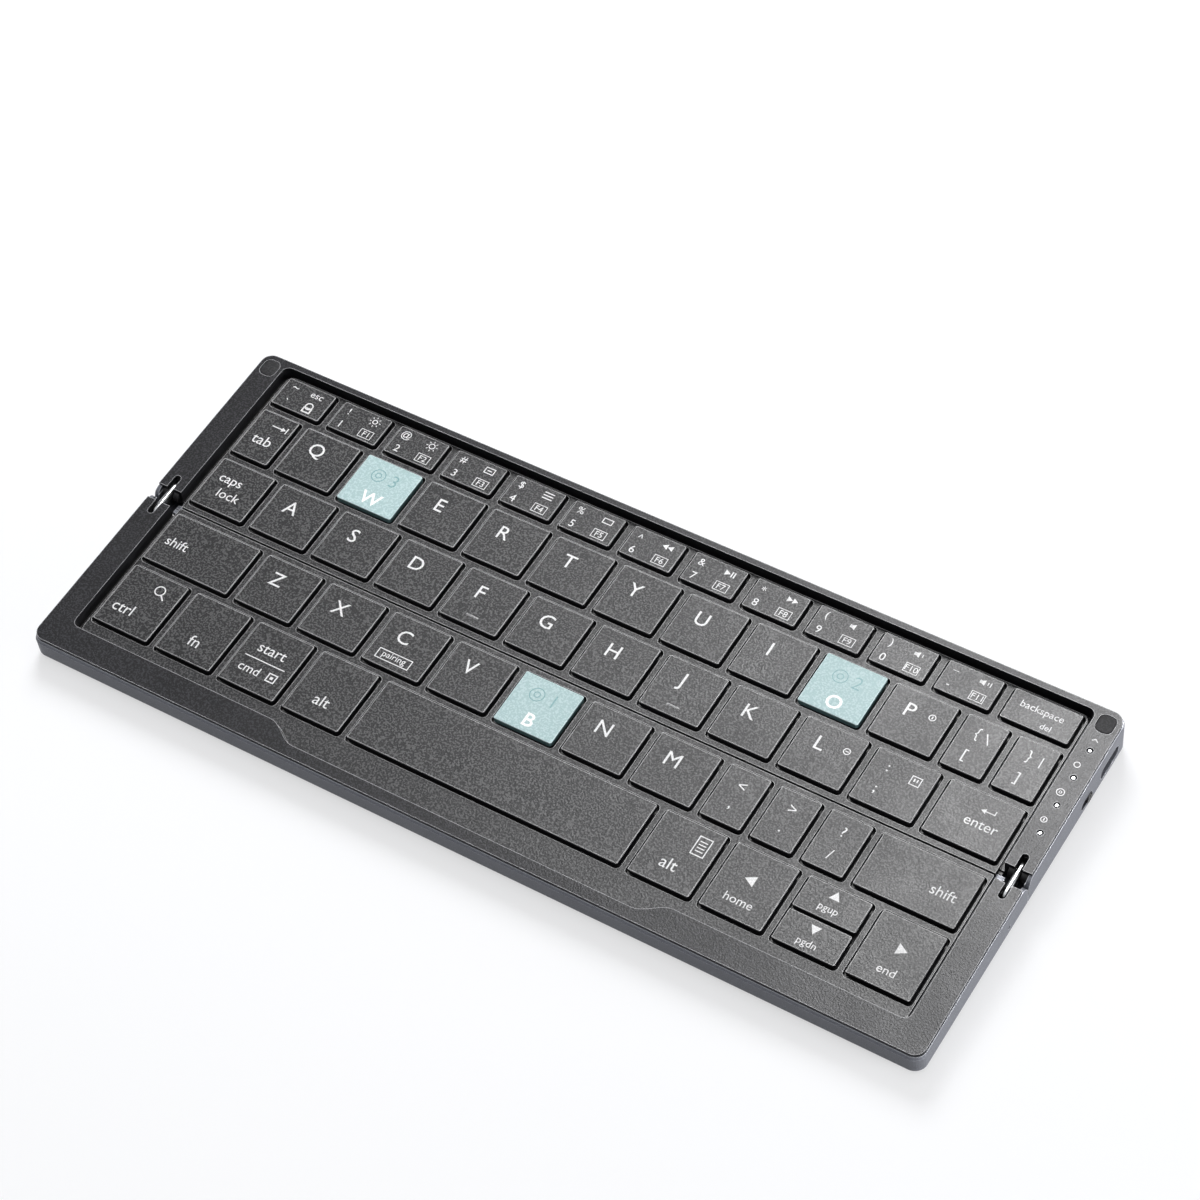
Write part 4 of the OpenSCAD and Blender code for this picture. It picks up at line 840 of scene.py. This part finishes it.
# %% Floor
def seen(tree):
    """One where a camera, a glossy or a transmitted ray looks, for a background that reads as white."""
    path = place(tree, "ShaderNodeLightPath")
    first = place(tree, "ShaderNodeMath", operation="MAXIMUM")
    second = place(tree, "ShaderNodeMath", operation="MAXIMUM")
    tree.links.new(path.outputs["Is Camera Ray"], first.inputs[0])
    tree.links.new(path.outputs["Is Glossy Ray"], first.inputs[1])
    tree.links.new(first.outputs[0], second.inputs[0])
    tree.links.new(path.outputs["Is Transmission Ray"], second.inputs[1])
    return second.outputs[0]


alone()
bpy.ops.mesh.primitive_plane_add(size=8, location=(0, 0, 0))
floor = bpy.context.object
floor.name = "floor"
paper = bpy.data.materials.new("floor_paper")
paper.use_nodes = True
tree = paper.node_tree
tree.nodes["Principled BSDF"].inputs["Base Color"].default_value = (0.40, 0.405, 0.42, 1)
tree.nodes["Principled BSDF"].inputs["Roughness"].default_value = 0.9
tree.nodes["Principled BSDF"].inputs["Specular IOR Level"].default_value = 0.1
lift = place(tree, "ShaderNodeMath", operation="MULTIPLY")
lift.inputs[1].default_value = 0.57
tree.links.new(seen(tree), lift.inputs[0])
tree.nodes["Principled BSDF"].inputs["Emission Color"].default_value = (1, 1, 1, 1)
tree.links.new(lift.outputs[0], tree.nodes["Principled BSDF"].inputs["Emission Strength"])
floor.data.materials.append(paper)


# %% Lamps and world
def softbox(name, place_at, target, width, height, watts):
    lamp = bpy.data.objects.new(name, bpy.data.lights.new(name, "AREA"))
    lamp.data.shape, lamp.data.size, lamp.data.size_y, lamp.data.energy = "RECTANGLE", width, height, watts
    bpy.context.scene.collection.objects.link(lamp)
    lamp.location = place_at
    lamp.rotation_euler = (Vector(target) - Vector(place_at)).to_track_quat("-Z", "Y").to_euler()
    return lamp


softbox("back_softbox", (-0.35, 0.58, 0.62), (0, 0, 0), 0.40, 0.40, 7.2).visible_glossy = False
overhead = bpy.data.objects.new("overhead", bpy.data.lights.new("overhead", "SUN"))
overhead.data.energy, overhead.data.angle = 1.0, radians(60)
bpy.context.scene.collection.objects.link(overhead)
softbox("right_softbox", (1.0, 0.05, 0.09), (0.1, 0, 0), 0.5, 0.14, 12)
softbox("sheen_card", (0.0, 0.47, 0.80), (0.05, 0, 0), 0.40, 0.26, 15).visible_diffuse = False
world = bpy.data.worlds.new("studio")
bpy.context.scene.world = world
world.use_nodes = True
tree = world.node_tree
level = place(tree, "ShaderNodeMapRange", To_Min=0.14, To_Max=1.0)
tree.links.new(seen(tree), level.inputs["Value"])
tree.links.new(level.outputs["Result"], tree.nodes["Background"].inputs["Strength"])
tree.nodes["Background"].inputs["Color"].default_value = (0.97, 0.98, 1.0, 1)
bpy.context.scene.view_settings.view_transform = "Standard"
